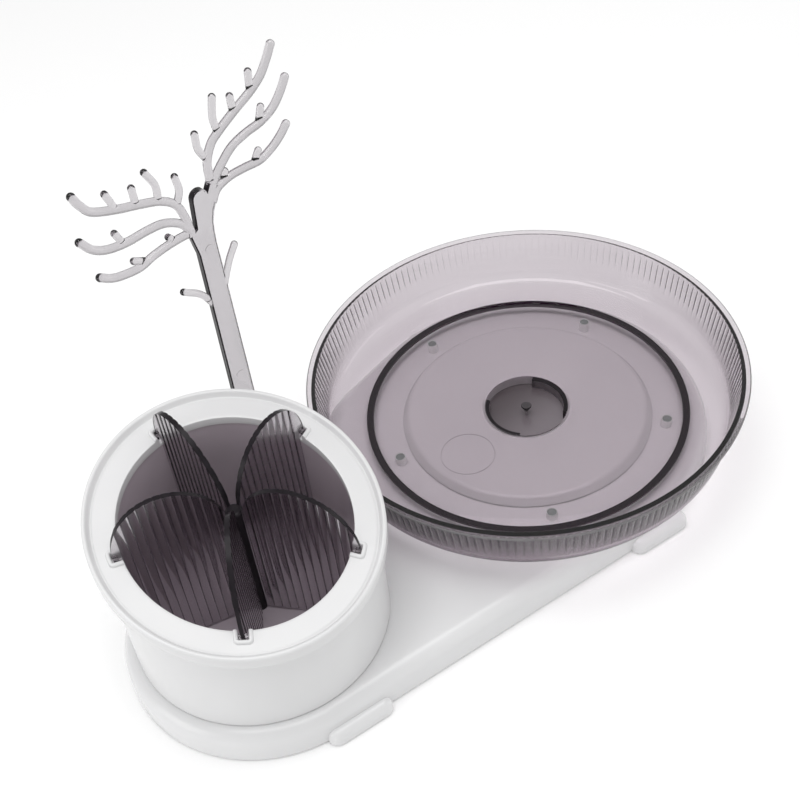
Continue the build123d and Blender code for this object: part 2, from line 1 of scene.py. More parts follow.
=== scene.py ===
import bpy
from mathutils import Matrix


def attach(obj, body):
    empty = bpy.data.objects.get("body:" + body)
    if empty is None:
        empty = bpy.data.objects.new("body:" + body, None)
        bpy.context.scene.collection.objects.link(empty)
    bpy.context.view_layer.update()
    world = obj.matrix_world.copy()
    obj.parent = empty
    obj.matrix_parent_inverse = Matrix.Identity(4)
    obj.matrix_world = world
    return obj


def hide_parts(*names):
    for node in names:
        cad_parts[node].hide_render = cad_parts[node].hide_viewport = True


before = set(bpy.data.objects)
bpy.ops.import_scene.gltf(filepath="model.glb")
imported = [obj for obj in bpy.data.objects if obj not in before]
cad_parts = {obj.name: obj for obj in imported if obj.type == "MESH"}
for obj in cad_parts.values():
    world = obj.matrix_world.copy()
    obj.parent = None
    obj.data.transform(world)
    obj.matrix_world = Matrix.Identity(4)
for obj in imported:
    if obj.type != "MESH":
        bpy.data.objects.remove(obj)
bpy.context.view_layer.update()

# %% [markdown]
# # A rotating makeup organizer, dressed for the camera
# The organizer has a white tapered base. A fluted tray of smoke-tinted plastic turns on one
# end of it, a white brush cup with a slanted ring turns on the other, and a clear tree for
# jewellery stands behind the cup. Every shape below is worked out in millimetres, in the same
# place as the CAD model, and turned into metres once, when its mesh is made.

# %% Modules
from math import asin, atan2, cos, radians, sin, tan

import bmesh
import bpy
import numpy as np
from mathutils import Matrix, Vector
from mathutils.geometry import delaunay_2d_cdt

MILLIMETRE = 0.001

# %% [markdown]
# ## Grids, rings and pieces
# Most pieces are a profile carried round an axis or along an outline. Such a shape is a grid
# of points with rows and columns, so its faces can be numbered for the whole grid at once.
# A helper then joins the grids into one mesh, welds the seams and turns the faces outwards.


# %% Faces of a grid
def grid_quads(rows, columns, first=0, rows_closed=False):
    """Quads between neighbours of a grid numbered row after row: corner (row, column) is
    first + row * columns + column. Columns go round to the first one, and closed rows too."""
    row = np.arange(rows if rows_closed else rows - 1)
    row, column = np.meshgrid(row, np.arange(columns), indexing="ij")
    next_row = (row + 1) % rows
    next_column = (column + 1) % columns
    corners = (
        row * columns + column,
        row * columns + next_column,
        next_row * columns + next_column,
        next_row * columns + column,
    )
    return (np.stack(corners, axis=-1).reshape(-1, 4) + first).tolist()


def capped_grid(rows, columns):
    """Faces of a grid that goes round, with one more face to close it at each end."""
    ends = [list(range(columns)), list(range((rows - 1) * columns, rows * columns))]
    return grid_quads(rows, columns) + ends


def ring_joint(fine_first, fine_count, coarse_first, coarse_count):
    """Faces that join a fine ring of points to a coarse one, one face to each coarse edge."""
    share = fine_count // coarse_count
    steps = np.arange(coarse_count)
    fine = (steps[:, None] * share + np.arange(share, -1, -1)) % fine_count + fine_first
    coarse = np.stack([steps, (steps + 1) % coarse_count], axis=1) + coarse_first
    return np.concatenate([coarse, fine], axis=1).tolist()


def flat_with_holes(outline, holes, height):
    """Points and triangles of a flat face: a constrained triangulation of the outline, less
    the triangles whose middle has a winding number other than zero round a hole."""
    loops = [outline] + holes
    flat = np.concatenate(loops)
    edges = []
    start = 0
    for loop in loops:
        count = len(loop)
        step = np.arange(count)
        pairs = np.column_stack([step, (step + 1) % count]) + start
        edges += [tuple(pair) for pair in pairs.tolist()]
        start += count
    points, _, faces, *_ = delaunay_2d_cdt([Vector(p) for p in flat], edges, [], 1, 1e-7)
    points = np.array([tuple(p) for p in points])
    faces = np.array([tuple(f) for f in faces])
    middle = points[faces].mean(axis=1)
    keep = np.ones(len(faces), bool)
    for loop in holes:
        ahead = loop[None] - middle[:, None]
        angle = np.arctan2(ahead[..., 1], ahead[..., 0])
        turn = np.diff(np.concatenate([angle, angle[:, :1]], axis=1), axis=1)
        turn = (turn + np.pi) % (2 * np.pi) - np.pi
        keep &= np.abs(turn.sum(axis=1)) < 1
    return np.column_stack([points, np.full(len(points), float(height))]), faces[keep].tolist()


# %% Points
def full_turn(columns):
    """Angles of a number of columns, once round."""
    return np.linspace(0, 2 * np.pi, columns, endpoint=False)


def points_of(x, y, z):
    """Points from their coordinates. A coordinate that is the same along a row or a column
    is given once and spread over it."""
    return np.stack(np.broadcast_arrays(x, y, z), axis=-1)


# %% From points to a piece
weld = 0.002 * MILLIMETRE


def make_piece(name, shells, material, sharp=38.0):
    """One mesh object from shells of (points in millimetres, faces). Points closer than the
    weld are merged, normals are turned outwards, and edges over the sharp angle stay crisp."""
    points = []
    faces = []
    start = 0
    for shell_points, shell_faces in shells:
        points.append(np.asarray(shell_points, float).reshape(-1, 3))
        faces += [[start + corner for corner in face] for face in shell_faces]
        start += len(points[-1])
    mesh = bpy.data.meshes.new(name)
    mesh.from_pydata(np.concatenate(points) * MILLIMETRE, [], faces)
    skin = bmesh.new()
    skin.from_mesh(mesh)
    bmesh.ops.remove_doubles(skin, verts=skin.verts, dist=weld)
    bmesh.ops.dissolve_degenerate(skin, edges=skin.edges, dist=weld / 4)
    bmesh.ops.recalc_face_normals(skin, faces=skin.faces)
    open_edges = sum(1 for edge in skin.edges if not edge.is_manifold)
    skin.to_mesh(mesh)
    skin.free()
    mesh.shade_smooth()
    mesh.set_sharp_from_angle(angle=radians(sharp))
    mesh.materials.append(material)
    piece = bpy.data.objects.new(name, mesh)
    bpy.context.scene.collection.objects.link(piece)
    print(f"{name}: {len(mesh.polygons)} faces, {open_edges} open edges")
    return piece


def paint_faces(piece, material, *boxes):
    """Gives the faces in any of the boxes a material, and the piece a slot for it if it has
    none yet. A box holds measures of a face with the limits that each lies between: x, y and z
    of its middle in millimetres, nx, ny and nz of its normal, and r, how far its middle is from
    the tray's axis."""
    if material.name not in piece.data.materials:
        piece.data.materials.append(material)
    faces = piece.data.polygons
    middles, normals = np.empty(len(faces) * 3), np.empty(len(faces) * 3)
    faces.foreach_get("center", middles)
    faces.foreach_get("normal", normals)
    x, y, z = middles.reshape(-1, 3).T / MILLIMETRE
    nx, ny, nz = normals.reshape(-1, 3).T
    measures = {"x": x, "y": y, "z": z, "nx": nx, "ny": ny, "nz": nz, "r": np.hypot(x - tray_x, y)}
    chosen = np.zeros(len(faces), bool)
    for box in boxes:
        inside = np.ones(len(faces), bool)
        for measure, (low, high) in box.items():
            inside &= (measures[measure] > low) & (measures[measure] < high)
        chosen |= inside
    slots = np.empty(len(faces), np.int32)
    faces.foreach_get("material_index", slots)
    slots[chosen] = piece.data.materials.find(material.name)
    faces.foreach_set("material_index", slots)
    print(f"{piece.name}: {int(chosen.sum())} faces in {material.name}")


def fuse(piece, others, sharp):
    """Joins closed pieces into one skin, so that no wall is left inside the clear plastic.
    Faces keep the number of their material slot."""
    for other in others:
        step = piece.modifiers.new("fuse", "BOOLEAN")
        step.operation = "UNION"
        step.solver = "MANIFOLD"
        step.object = other
    bpy.context.view_layer.update()
    seen = piece.evaluated_get(bpy.context.evaluated_depsgraph_get())
    fused = bpy.data.meshes.new_from_object(seen)
    piece.modifiers.clear()
    piece.data = fused
    fused.shade_smooth()
    fused.set_sharp_from_angle(angle=radians(sharp))
    for other in others:
        bpy.data.objects.remove(other)
    print(f"{piece.name}: {len(fused.polygons)} faces once fused")


def corner_round(corner, before, after, radius, steps):
    """Points of an arc that rounds a corner of a profile. The arc touches both sides, so its
    centre lies on the bisector at radius / sin(half the corner's angle)."""
    corner, before, after = (np.array(p, float) for p in (corner, before, after))
    back = (before - corner) / np.linalg.norm(before - corner)
    ahead = (after - corner) / np.linalg.norm(after - corner)
    half = np.arccos(np.clip(back @ ahead, -1, 1)) / 2
    centre = corner + (back + ahead) / np.linalg.norm(back + ahead) * radius / np.sin(half)
    from_here = corner + back * radius / np.tan(half) - centre
    side = np.sign(back[0] * ahead[1] - back[1] * ahead[0])
    angle = -side * np.linspace(0, np.pi - 2 * half, steps + 1)
    arc = np.stack([
        from_here[0] * np.cos(angle) - from_here[1] * np.sin(angle),
        from_here[0] * np.sin(angle) + from_here[1] * np.cos(angle),
    ], axis=1)
    return centre + arc


small_radius = 1.0
small_steps = 3
large_steps = 8


def rounded_profile(corners, closed=False):
    """A profile from (across, up, radius) corners: straight sides with each corner rounded."""
    places = [np.array(c[:2], float) for c in corners]
    points = []
    for i, (*_, radius) in enumerate(corners):
        if radius == 0 or (not closed and i in (0, len(corners) - 1)):
            points.append(places[i][None])
        else:
            after = places[(i + 1) % len(corners)]
            steps = small_steps if radius < small_radius else large_steps
            points.append(corner_round(places[i], places[i - 1], after, radius, steps))
    return np.concatenate(points)


def turned(profile, centre_x, columns):
    """Points of a turned shape: each profile point (radius, height) goes once round an
    upright axis, so a point is centre + radius * (cos, sin) of its column's angle."""
    angle = full_turn(columns)
    radius, height = profile[:, :1], profile[:, 1:]
    return points_of(centre_x + radius * np.cos(angle), radius * np.sin(angle), height)


def turned_shell(profile, centre_x, columns, closed=False):
    """A turned shape as points and faces. A closed profile joins up with its own start."""
    faces = grid_quads(len(profile), columns, rows_closed=closed)
    return turned(profile, centre_x, columns), faces


# %% [markdown]
# ## Camera
# The picture was taken from the front left, looking down at nearly 45 degrees, with the camera
# tipped a little about its own view. The place and lens could be found by eye. Here one pinhole
# camera was fitted to the round outlines of the tray and the cup, because an outline that is
# known to be round shows both the tilt and the lens. The tray then falls within about a pixel
# of its place in the picture, and the cup's foot is about seven pixels off.

# %% Camera at the picture's viewing angle
camera_place = (-0.30456, -0.39064, 0.58168)
camera_heading = radians(36.41)
camera_down = radians(44.82)
camera_roll = radians(-7.84)
ahead = Vector((
    sin(camera_heading) * cos(camera_down),
    cos(camera_heading) * cos(camera_down),
    -sin(camera_down),
))
level = Vector((cos(camera_heading), -sin(camera_heading), 0))
raised = level.cross(ahead)
right = level * cos(camera_roll) + raised * sin(camera_roll)
above = -level * sin(camera_roll) + raised * cos(camera_roll)
focal_length = 59.62
lens = bpy.data.cameras.new("camera")
lens.lens = focal_length
lens.clip_end = 40
camera = bpy.data.objects.new("camera", lens)
bpy.context.scene.collection.objects.link(camera)
camera.matrix_world = Matrix((
    (right.x, above.x, -ahead.x, camera_place[0]),
    (right.y, above.y, -ahead.y, camera_place[1]),
    (right.z, above.z, -ahead.z, camera_place[2]),
    (0, 0, 0, 1),
))
bpy.context.scene.camera = camera
print("camera at:", camera_place, "lens:", focal_length)

# %% [markdown]
# ## Plastics
# Two plastics make nearly all of the organizer. The white one is an opaque gloss moulding with
# a very fine waviness in its skin. The smoke-tinted one is clear: its surface only bends and
# mirrors light, and the colour comes from the depth of plastic that the light goes through.
# A tinted surface would look the same at any depth. On the real one a wall seen flat is pale
# while its edge is nearly black, and a volume absorption gives just that. Lamps shine through
# it by a shadow ray that passes the surface straight. In a few bounces of light the absorption
# can't make an edge as black as the real one, so edges, the liner and the sunk hub get plain
# finishes in the tone that they have there. On the edges and in the sunk hub this is painted shade.


# %% Material helpers
def new_finish(name):
    """A material with nodes, its shader and its output."""
    finish = bpy.data.materials.new(name)
    finish.use_nodes = True
    nodes = finish.node_tree.nodes
    return finish, nodes, finish.node_tree.links, nodes["Principled BSDF"], nodes["Material Output"]


def set_inputs(node, values):
    """Sets a node's inputs, by name or number."""
    for place, value in values.items():
        node.inputs[place].default_value = value


def own_noise(nodes, links, size, detail):
    """Noise on the piece's own coordinates, with features of a size in metres."""
    where = nodes.new("ShaderNodeTexCoord")
    noise = nodes.new("ShaderNodeTexNoise")
    set_inputs(noise, {"Scale": 1 / size, "Detail": detail})
    links.new(where.outputs["Object"], noise.inputs["Vector"])
    return noise.outputs["Fac"]


def add_ripple(nodes, links, shader, size, depth):
    """A fine waviness of the skin: noise as a bump."""
    bump = nodes.new("ShaderNodeBump")
    set_inputs(bump, {"Distance": depth, "Strength": 1.0})
    links.new(own_noise(nodes, links, size, 2.0), bump.inputs["Height"])
    links.new(bump.outputs["Normal"], shader.inputs["Normal"])


def add_mottle(nodes, links, shader, size, low, high):
    """A barely seen change of colour over the surface, from a soft noise."""
    ramp = nodes.new("ShaderNodeValToRGB")
    for element, position, colour in zip(ramp.color_ramp.elements, (0.3, 0.7), (low, high)):
        element.position = position
        element.color = (*colour, 1)
    links.new(own_noise(nodes, links, size, 3.0), ramp.inputs["Fac"])
    links.new(ramp.outputs["Color"], shader.inputs["Base Color"])


# %% White gloss plastic
def gloss_white(name, low, high):
    """Opaque white moulding: gloss skin, fine waviness, hardly any change of colour."""
    finish, nodes, links, shader, _ = new_finish(name)
    set_inputs(shader, {"Roughness": 0.22, "IOR": 1.5})
    add_mottle(nodes, links, shader, size=0.05, low=low, high=high)
    add_ripple(nodes, links, shader, size=0.012, depth=0.00002)
    return finish


white = gloss_white("gloss_white", (0.685, 0.685, 0.69), (0.71, 0.71, 0.713))
# The base gets the same white plastic painted a little lighter: painted light that makes up for the
# shade that the cup and tray cast on its deck.
base_white_lightened = gloss_white("base_white_lightened", (0.715, 0.715, 0.72), (0.735, 0.735, 0.74))


# %% Smoke-tinted clear plastic
def smoke_clear(name, tint, density, satin=0.0, size=0.02, depth=0.00001):
    """Clear plastic whose colour is the light lost on the way through: what is left after a
    path is exp(-density * (1 - tint) * path). Where the piece's satin attribute is 1, the skin
    is rougher by the satin value."""
    polish = 0.02
    finish, nodes, links, shader, output = new_finish(name)
    set_inputs(shader, {
        "Base Color": (1, 1, 1, 1), "Transmission Weight": 1.0, "Roughness": polish, "IOR": 1.49,
    })
    if satin > 0:
        marked = nodes.new("ShaderNodeAttribute")
        marked.attribute_name = "satin"
        rougher = nodes.new("ShaderNodeMath")
        rougher.operation = "MULTIPLY_ADD"
        set_inputs(rougher, {1: satin, 2: polish})
        links.new(marked.outputs["Fac"], rougher.inputs[0])
        links.new(rougher.outputs["Value"], shader.inputs["Roughness"])
    add_ripple(nodes, links, shader, size, depth)
    through = nodes.new("ShaderNodeBsdfTransparent")
    ray = nodes.new("ShaderNodeLightPath")
    mix = nodes.new("ShaderNodeMixShader")
    links.new(ray.outputs["Is Shadow Ray"], mix.inputs["Fac"])
    links.new(shader.outputs["BSDF"], mix.inputs[1])
    links.new(through.outputs["BSDF"], mix.inputs[2])
    links.new(mix.outputs["Shader"], output.inputs["Surface"])
    depth_tint = nodes.new("ShaderNodeVolumeAbsorption")
    set_inputs(depth_tint, {"Color": (*tint, 1), "Density": density})
    links.new(depth_tint.outputs["Volume"], output.inputs["Volume"])
    return finish


smoke = smoke_clear(
    "smoke_clear", (0.566, 0.495, 0.547), density=380.0, satin=0.24, depth=0.000002,
)
tree_smoke = smoke_clear("tree_smoke", (0.500, 0.468, 0.496), density=245.0)
divider_smoke = smoke_clear("divider_smoke", (0.50, 0.45, 0.49), density=340.0)


# %% Plain finishes
def plain_finish(name, low, high, roughness, metallic=0.0, size=0.004, depth=0.00002, shine=0.5):
    """An opaque finish: a colour with a little mottle, and a fine waviness."""
    finish, nodes, links, shader, _ = new_finish(name)
    set_inputs(shader, {
        "Specular IOR Level": shine, "Roughness": roughness, "Metallic": metallic,
    })
    add_mottle(nodes, links, shader, size, low, high)
    add_ripple(nodes, links, shader, size, depth)
    return finish


liner_smoke = plain_finish(
    "liner_smoke", (0.55, 0.485, 0.53), (0.58, 0.51, 0.555), 0.12, size=0.02, depth=0.00001,
)
# dark_edge, plum_edge, lip_grey, pin_grey and rib_grey are painted shade: the dark of clear plastic
# seen along its edge. hub_wall is the tone of the sunk hub's wall in its shade.
dark_edge = plain_finish(
    "dark_edge", (0.012, 0.010, 0.012), (0.018, 0.015, 0.018), 0.2, shine=0.12,
)
plum_edge = plain_finish(
    "plum_edge", (0.022, 0.002, 0.018), (0.028, 0.004, 0.024), 0.3, shine=0.1,
)
hub_wall = plain_finish("hub_wall", (0.25, 0.22, 0.24), (0.28, 0.245, 0.27), 0.25)
lip_grey = plain_finish("lip_grey", (0.13, 0.125, 0.13), (0.16, 0.155, 0.16), 0.25)
pin_grey = plain_finish(
    "pin_grey", (0.05, 0.045, 0.048), (0.062, 0.055, 0.06), 0.4, shine=0.2,
)
rib_grey = plain_finish("rib_grey", (0.095, 0.088, 0.095), (0.115, 0.107, 0.115), 0.3)
milky = plain_finish("milky_glide", (0.64, 0.69, 0.66), (0.68, 0.72, 0.69), 0.35)
dimple_painted_shade = plain_finish("dimple_painted_shade", (0.20, 0.24, 0.22), (0.25, 0.29, 0.27), 0.35)
waxy = plain_finish("waxy_slip", (0.70, 0.70, 0.70), (0.76, 0.76, 0.76), 0.5)
grey_rubber = plain_finish("grey_rubber", (0.07, 0.07, 0.07), (0.10, 0.10, 0.10), 0.8)
glide_side_lightened = plain_finish("glide_side_lightened", (0.90, 0.91, 0.90), (0.93, 0.94, 0.93), 0.5)
zinc = plain_finish("zinc_steel", (0.52, 0.53, 0.55), (0.62, 0.62, 0.63), 0.32, metallic=1.0)


# %% Finishes with painted shade across a floor
def painted_shade_floor(name, front, back, start, end):
    """A finish with painted shade across a floor: it goes from one colour at a recess's front,
    where y is start, to another further back, where y is end."""
    finish, nodes, links, shader, _ = new_finish(name)
    set_inputs(shader, {"Roughness": 0.25})
    add_ripple(nodes, links, shader, size=0.02, depth=0.00001)
    where = nodes.new("ShaderNodeTexCoord")
    parts = nodes.new("ShaderNodeSeparateXYZ")
    share = nodes.new("ShaderNodeMapRange")
    share.interpolation_type = "SMOOTHSTEP"
    set_inputs(share, {"From Min": start, "From Max": end})
    mix = nodes.new("ShaderNodeMix")
    mix.data_type = "RGBA"
    set_inputs(mix, {"A": (*front, 1), "B": (*back, 1)})
    links.new(where.outputs["Object"], parts.inputs["Vector"])
    links.new(parts.outputs["Y"], share.inputs["Value"])
    links.new(share.outputs["Result"], mix.inputs["Factor"])
    links.new(mix.outputs["Result"], shader.inputs["Base Color"])
    return finish


# Painted shade: the sunk hub's floor is darker towards the back.
hub_floor_painted_shade = painted_shade_floor(
    "hub_floor_painted_shade", (0.185, 0.160, 0.177), (0.07, 0.055, 0.062), start=-0.022, end=0.022,
)
# Painted shade: the liner's floor is darker towards the front of the cup.
liner_floor_painted_shade = painted_shade_floor(
    "liner_floor_painted_shade", (0.19, 0.165, 0.185), (0.49, 0.43, 0.475), start=-0.046, end=-0.016,
)

# %% Finishes of the CAD pieces that stay
kept_finishes = {
    "base_bottom": white, "base_screws": zinc, "rubber_feet": grey_rubber,
    "cup_slip_ring": waxy, "tray_pin_washer": zinc, "tray_pin_screw": zinc,
    "cup_floor": white, "cup_floor_screws": zinc, "cup_pin_washer": zinc,
    "cup_pin_screw": zinc,
}
for node_name, finish in kept_finishes.items():
    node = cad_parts[node_name]
    node.data.materials.clear()
    node.data.materials.append(finish)
print("finishes:", len(bpy.data.materials), "CAD pieces that stay:", len(kept_finishes))

# %% [markdown]
# ## Base
# The base is one moulding whose plan is the hull of two circles. It could be a block with a
# bevel, which goes uneven where a circle meets a straight side. Here its rim is one rounded
# profile all the way round, and a point of the skin is found from its outward direction: on an
# end it is the circle's centre plus the radius less the profile's inset, and along a straight
# side the centre and the radius change together from one circle to the other. Four tabs like
# pills stand at the straight sides, and the deck has holes for the tree, the disc and the cup.

# %% Plan of the base
cup_x = -123.85
tray_x = 73.65
cup_end_radius = 74.8
tray_end_radius = 103.4
spacing = tray_x - cup_x
base_low = 1.0
base_top = 20.2
plate_top = 4.0
taper = asin((tray_end_radius - cup_end_radius) / spacing)
print("axes apart:", spacing, "mm, sides lean in by:", round(taper, 4), "radians")


def plan_columns(end_steps=120, side_steps=24):
    """Centre, radius and outward angle of every column of points round the plan."""
    edge = np.pi / 2 + taper
    tray_turn = np.linspace(-edge, edge, end_steps + 1)
    cup_turn = np.linspace(edge, 2 * np.pi - edge, end_steps + 1)
    along = np.linspace(0, 1, side_steps + 1)[1:-1]
    centre = np.concatenate([
        np.full(end_steps + 1, tray_x), tray_x + (cup_x - tray_x) * along,
        np.full(end_steps + 1, cup_x), cup_x + (tray_x - cup_x) * along,
    ])
    grow = tray_end_radius - cup_end_radius
    radius = np.concatenate([
        np.full(end_steps + 1, tray_end_radius), tray_end_radius - grow * along,
        np.full(end_steps + 1, cup_end_radius), cup_end_radius + grow * along,
    ])
    turn = np.concatenate([
        tray_turn, np.full(len(along), edge), cup_turn, np.full(len(along), 2 * np.pi - edge),
    ])
    return centre, radius, turn


def round_the_plan(profile):
    """Profile points (inset, height) carried round the plan of the base."""
    centre, radius, turn = plan_columns()
    reach = radius - profile[:, :1]
    return points_of(centre + reach * np.cos(turn), reach * np.sin(turn), profile[:, 1:])


def circle(centre_x, radius, columns=96):
    """Points of a circle in plan."""
    turn = full_turn(columns)
    return np.stack([centre_x + radius * np.cos(turn), radius * np.sin(turn)], axis=1)


def pocket(loop, high, low):
    """Walls and floor of a blind hole under a closed loop."""
    count = len(loop)
    top = np.column_stack([loop, np.full(count, high)])
    bottom = np.column_stack([loop, np.full(count, low)])
    faces = grid_quads(2, count) + [list(range(count, 2 * count))]
    return np.concatenate([top, bottom]), faces


# %% Base moulding
tree_offset = 56.0
tree_x = cup_x + tree_offset
tree_y = 68.0
slot_half_length = 7.0
slot_half_width = 2.2
slot_floor = 6.3
well_radius = 30.5
well_floor = 15.2
bore_radius = 8.0
bore_floor = 11.0
shoulder = 8.0
base_wall = 2.4
rim_profile = rounded_profile([
    (shoulder + 3.0, base_top, 0), (0, base_top, shoulder), (0, base_low, 0.8),
    (base_wall, base_low, 0.3), (base_wall, plate_top, 0),
])
skin = round_the_plan(rim_profile)
rows, columns = skin.shape[:2]
corner_signs = np.array([(-1, -1), (1, -1), (1, 1), (-1, 1)])
slot = (tree_x, tree_y) + corner_signs * (slot_half_length, slot_half_width)
well = circle(tray_x, well_radius)
bore = circle(cup_x, bore_radius)
holes = [slot, well, bore]
deck = flat_with_holes(skin[0, :, :2], holes, base_top)
belly = flat_with_holes(skin[-1, :, :2], [], plate_top)
shells = [(skin, grid_quads(rows, columns)), deck, belly]
for loop, floor_height in zip(holes, (slot_floor, well_floor, bore_floor)):
    shells.append(pocket(loop, base_top, floor_height))

# %% Side tabs
tab_half_length = 13.2
tab_half_width = 5.4
tab_top = 8.6
tab_round = 4.8
tab_shift = 11.0


def pill(centre, along, columns=64):
    """Points and faces of one pill-shaped tab with a rounded top edge."""
    profile = rounded_profile([
        (tab_half_width, tab_top, 0), (0, tab_top, tab_round), (0, base_low, 0),
    ])
    turn = full_turn(columns)
    end = np.sign(np.cos(turn)) * tab_half_length
    reach = tab_half_width - np.minimum(profile[:, :1], tab_half_width - 0.02)
    u = end + reach * np.cos(turn)
    v = reach * np.sin(turn)
    x = centre[0] + u * along[0] - v * along[1]
    y = centre[1] + u * along[1] + v * along[0]
    return points_of(x, y, profile[:, 1:]), capped_grid(len(profile), columns)


def tab_place(side, along):
    """Middle of a tab on the straight edge and the edge's direction: from the cup's centre,
    out along the edge's normal by the cup end's radius, then along the edge."""
    normal = np.array([-sin(taper), side * cos(taper)])
    tangent = np.array([cos(taper), side * sin(taper)])
    return np.array([cup_x, 0]) + normal * cup_end_radius + tangent * along, tangent


for side in (-1, 1):
    for along in (tab_shift, spacing * cos(taper) + tab_shift):
        shells.append(pill(*tab_place(side, along)))
base = make_piece("base_moulding", shells, base_white_lightened)
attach(base, "base")
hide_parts("base_shell")

# %% [markdown]
# ## Glide buttons
# Five milky buttons stand on the base under the tray's floor and carry it near its edge. Seen
# through the smoke-tinted floor, each is a pale dot with a darker middle. The dark middle could
# be a painted spot. Here it is a dimple in the top of a short turned post, because a real button
# is moulded with one, and the dimple's floor gets painted shade. The post's side gets painted
# light, a whiter finish that makes up for the shade under the tray.

# %% Glides
glide_count = 5
glide_circle = 81.0
glide_radius = 3.1
glide_top = 25.7
glide_columns = 40
dimple_radius = 2.75
dimple_floor = 25.2
glide_profile = rounded_profile([
    (0, dimple_floor, 0), (dimple_radius - 0.2, dimple_floor, 0.1),
    (dimple_radius, glide_top, 0.05), (glide_radius, glide_top, 0.15),
    (glide_radius, base_top, 0), (0, base_top, 0),
])
glide_shells = []
for i in range(glide_count):
    turn = radians(90 + 360 / glide_count * i)
    middle_x = tray_x + glide_circle * cos(turn)
    points, faces = turned_shell(glide_profile, middle_x, glide_columns)
    points[..., 1] += glide_circle * sin(turn)
    glide_shells.append((points, faces))
glides = make_piece("glide_buttons", glide_shells, milky)
# Painted shade on the dimple's floor, and painted light on the post's side.
paint_faces(glides, dimple_painted_shade, {"nz": (0.5, 2), "z": (0, dimple_floor + 0.1)})
paint_faces(glides, glide_side_lightened, {"nz": (-0.5, 0.5), "z": (0, dimple_floor + 0.1)})
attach(glides, "base")
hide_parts("tray_glides")

# %% [markdown]
# ## Turntable disc
# The tray stands on a white disc that carries the turning pin. Its edge shows through the
# smoke-tinted floor as a soft circle. It could be cut square, but a sharp line would show then,
# so the edge slopes down from a wide rounding to a low outer corner. The well in its middle is
# just wide enough for the tray's sunk hub, so no dark gap shows round the hub.

# %% Disc
tray_under = 25.8
tray_top = 28.0
disc_top = tray_under - 0.02
disc_well = 24.15
disc_well_floor = 18.9
disc_flat = 69.2
disc_edge = 72.9
disc_low = 20.8
disc_skirt = 69.0
disc_under = 23.3
disc_hub = 28.8
disc_hub_under = 16.7
disc_pin = 7.95
disc_pin_low = 7.7
disc_columns = 240
disc_profile = rounded_profile([
    (0, disc_well_floor, 0), (disc_well, disc_well_floor, 0), (disc_well, disc_top, 0),
    (disc_flat, disc_top, 4.0), (disc_edge, disc_low + 0.6, 1.2), (disc_edge, disc_low, 0.2),
    (disc_skirt, disc_low, 0.3), (disc_skirt, disc_under, 0), (disc_hub, disc_under, 0.8),
    (disc_hub, disc_hub_under, 0.5), (disc_pin, disc_hub_under, 0.5), (disc_pin, disc_pin_low, 0),
    (0, disc_pin_low, 0),
])
disc = make_piece("turntable", [turned_shell(disc_profile, tray_x, disc_columns)], white)
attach(disc, "tray")
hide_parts("turntable_disc")

# %% [markdown]
# ## Fluted tray
# The tray is one turned wall of clear plastic: a flat floor with a sunk hub and a round rib
# below it, and a flared wall. The outside of the wall is cut into 180 narrow reeds, like
# reeded glass. Each reed is nearly flat across and drops steeply into its valleys, which a
# fifth power gives, where a parabola would look like a row of round rods. The valleys fade in
# above the foot and stop under a smooth band at the rim. Only the reeded wall needs a very fine
# grid, so two joints take it down to fewer columns for the rest of the tray. A thin flat lip
# runs round the outside of the rim.

# %% Section of the tray
tray_radius = 125.0
tray_foot_radius = 115.6
rim_top = 59.0
tray_wall = 2.5
lip_low = 57.4
wall_top_radius = 122.3
lean = atan2(wall_top_radius - tray_foot_radius, rim_top - tray_under)
foot_corner = (tray_foot_radius, tray_under)
floor_corner = (tray_foot_radius - tray_wall + (tray_top - tray_under) * tan(lean), tray_top)
rim_in = wall_top_radius - tray_wall / cos(lean)
rim_out = tray_radius - 0.1
rib_low = tray_under - 1.6
rib_inner = 89.9
rib_outer = 93.4
recess_radius = 24.1
recess_floor = 21.0
recess_outer = 25.1
recess_under = 19.0
recess_split = 25.4
nub_radius = 3.4
nub_tip = 1.2
nub_low = 15.1
reed_low = 34.0
reed_full = 48.0
reed_top = 56.6
reed_depth = 0.34
reed_count = 180
coarse = 360
fine = 1440
foot_round = 7.0
floor_round = 5.5
hub_round = 0.6
print("tray wall leans out by:", round(lean, 4), "radians")


def wall_radius(height):
    """Outer radius of the flared wall at a height."""
    return tray_foot_radius + (height - tray_under) * tan(lean)


band_top = reed_top + 0.45
inside = rounded_profile([
    (0, recess_floor, 0), (recess_radius, recess_floor, hub_round),
    (recess_radius, tray_top, hub_round), (recess_split, tray_top, 0),
    (*floor_corner, floor_round), (rim_in, rim_top, 0.5),
    (rim_out, rim_top, 0.7), (rim_out, lip_low, 0.5), (wall_radius(lip_low), lip_low, 0.3),
    (wall_radius(band_top), band_top, 0),
])
outside = rounded_profile([
    (wall_radius(reed_low), reed_low, 0), (*foot_corner, foot_round),
    (rib_outer, tray_under, 0.4), (rib_outer, rib_low, 0.4), (rib_inner, rib_low, 0.4),
    (rib_inner, tray_under, 0.4), (recess_outer, tray_under, 0.4),
    (recess_outer, recess_under, 0.8), (nub_radius, recess_under, 0.3),
    (nub_tip, nub_low, 0.4), (0, nub_low, 0),
])


def reeded_wall(levels):
    """Radius of the reeded wall: the flare less the fifth power of the place across each
    reed, which is 0 on the crest and the full depth in the valley, faded by height."""
    turn = full_turn(fine)
    across = (turn * reed_count / (2 * np.pi)) % 1 * 2 - 1
    rise = np.clip((levels - reed_low) / (reed_full - reed_low), 0, 1)
    fall = np.clip((reed_top - levels) / 0.8, 0, 1)
    share = (rise * rise * (3 - 2 * rise) * fall)[:, None]
    radius = wall_radius(levels)[:, None] - reed_depth * share * np.abs(across) ** 5
    return points_of(tray_x + radius * np.cos(turn), radius * np.sin(turn), levels[:, None])


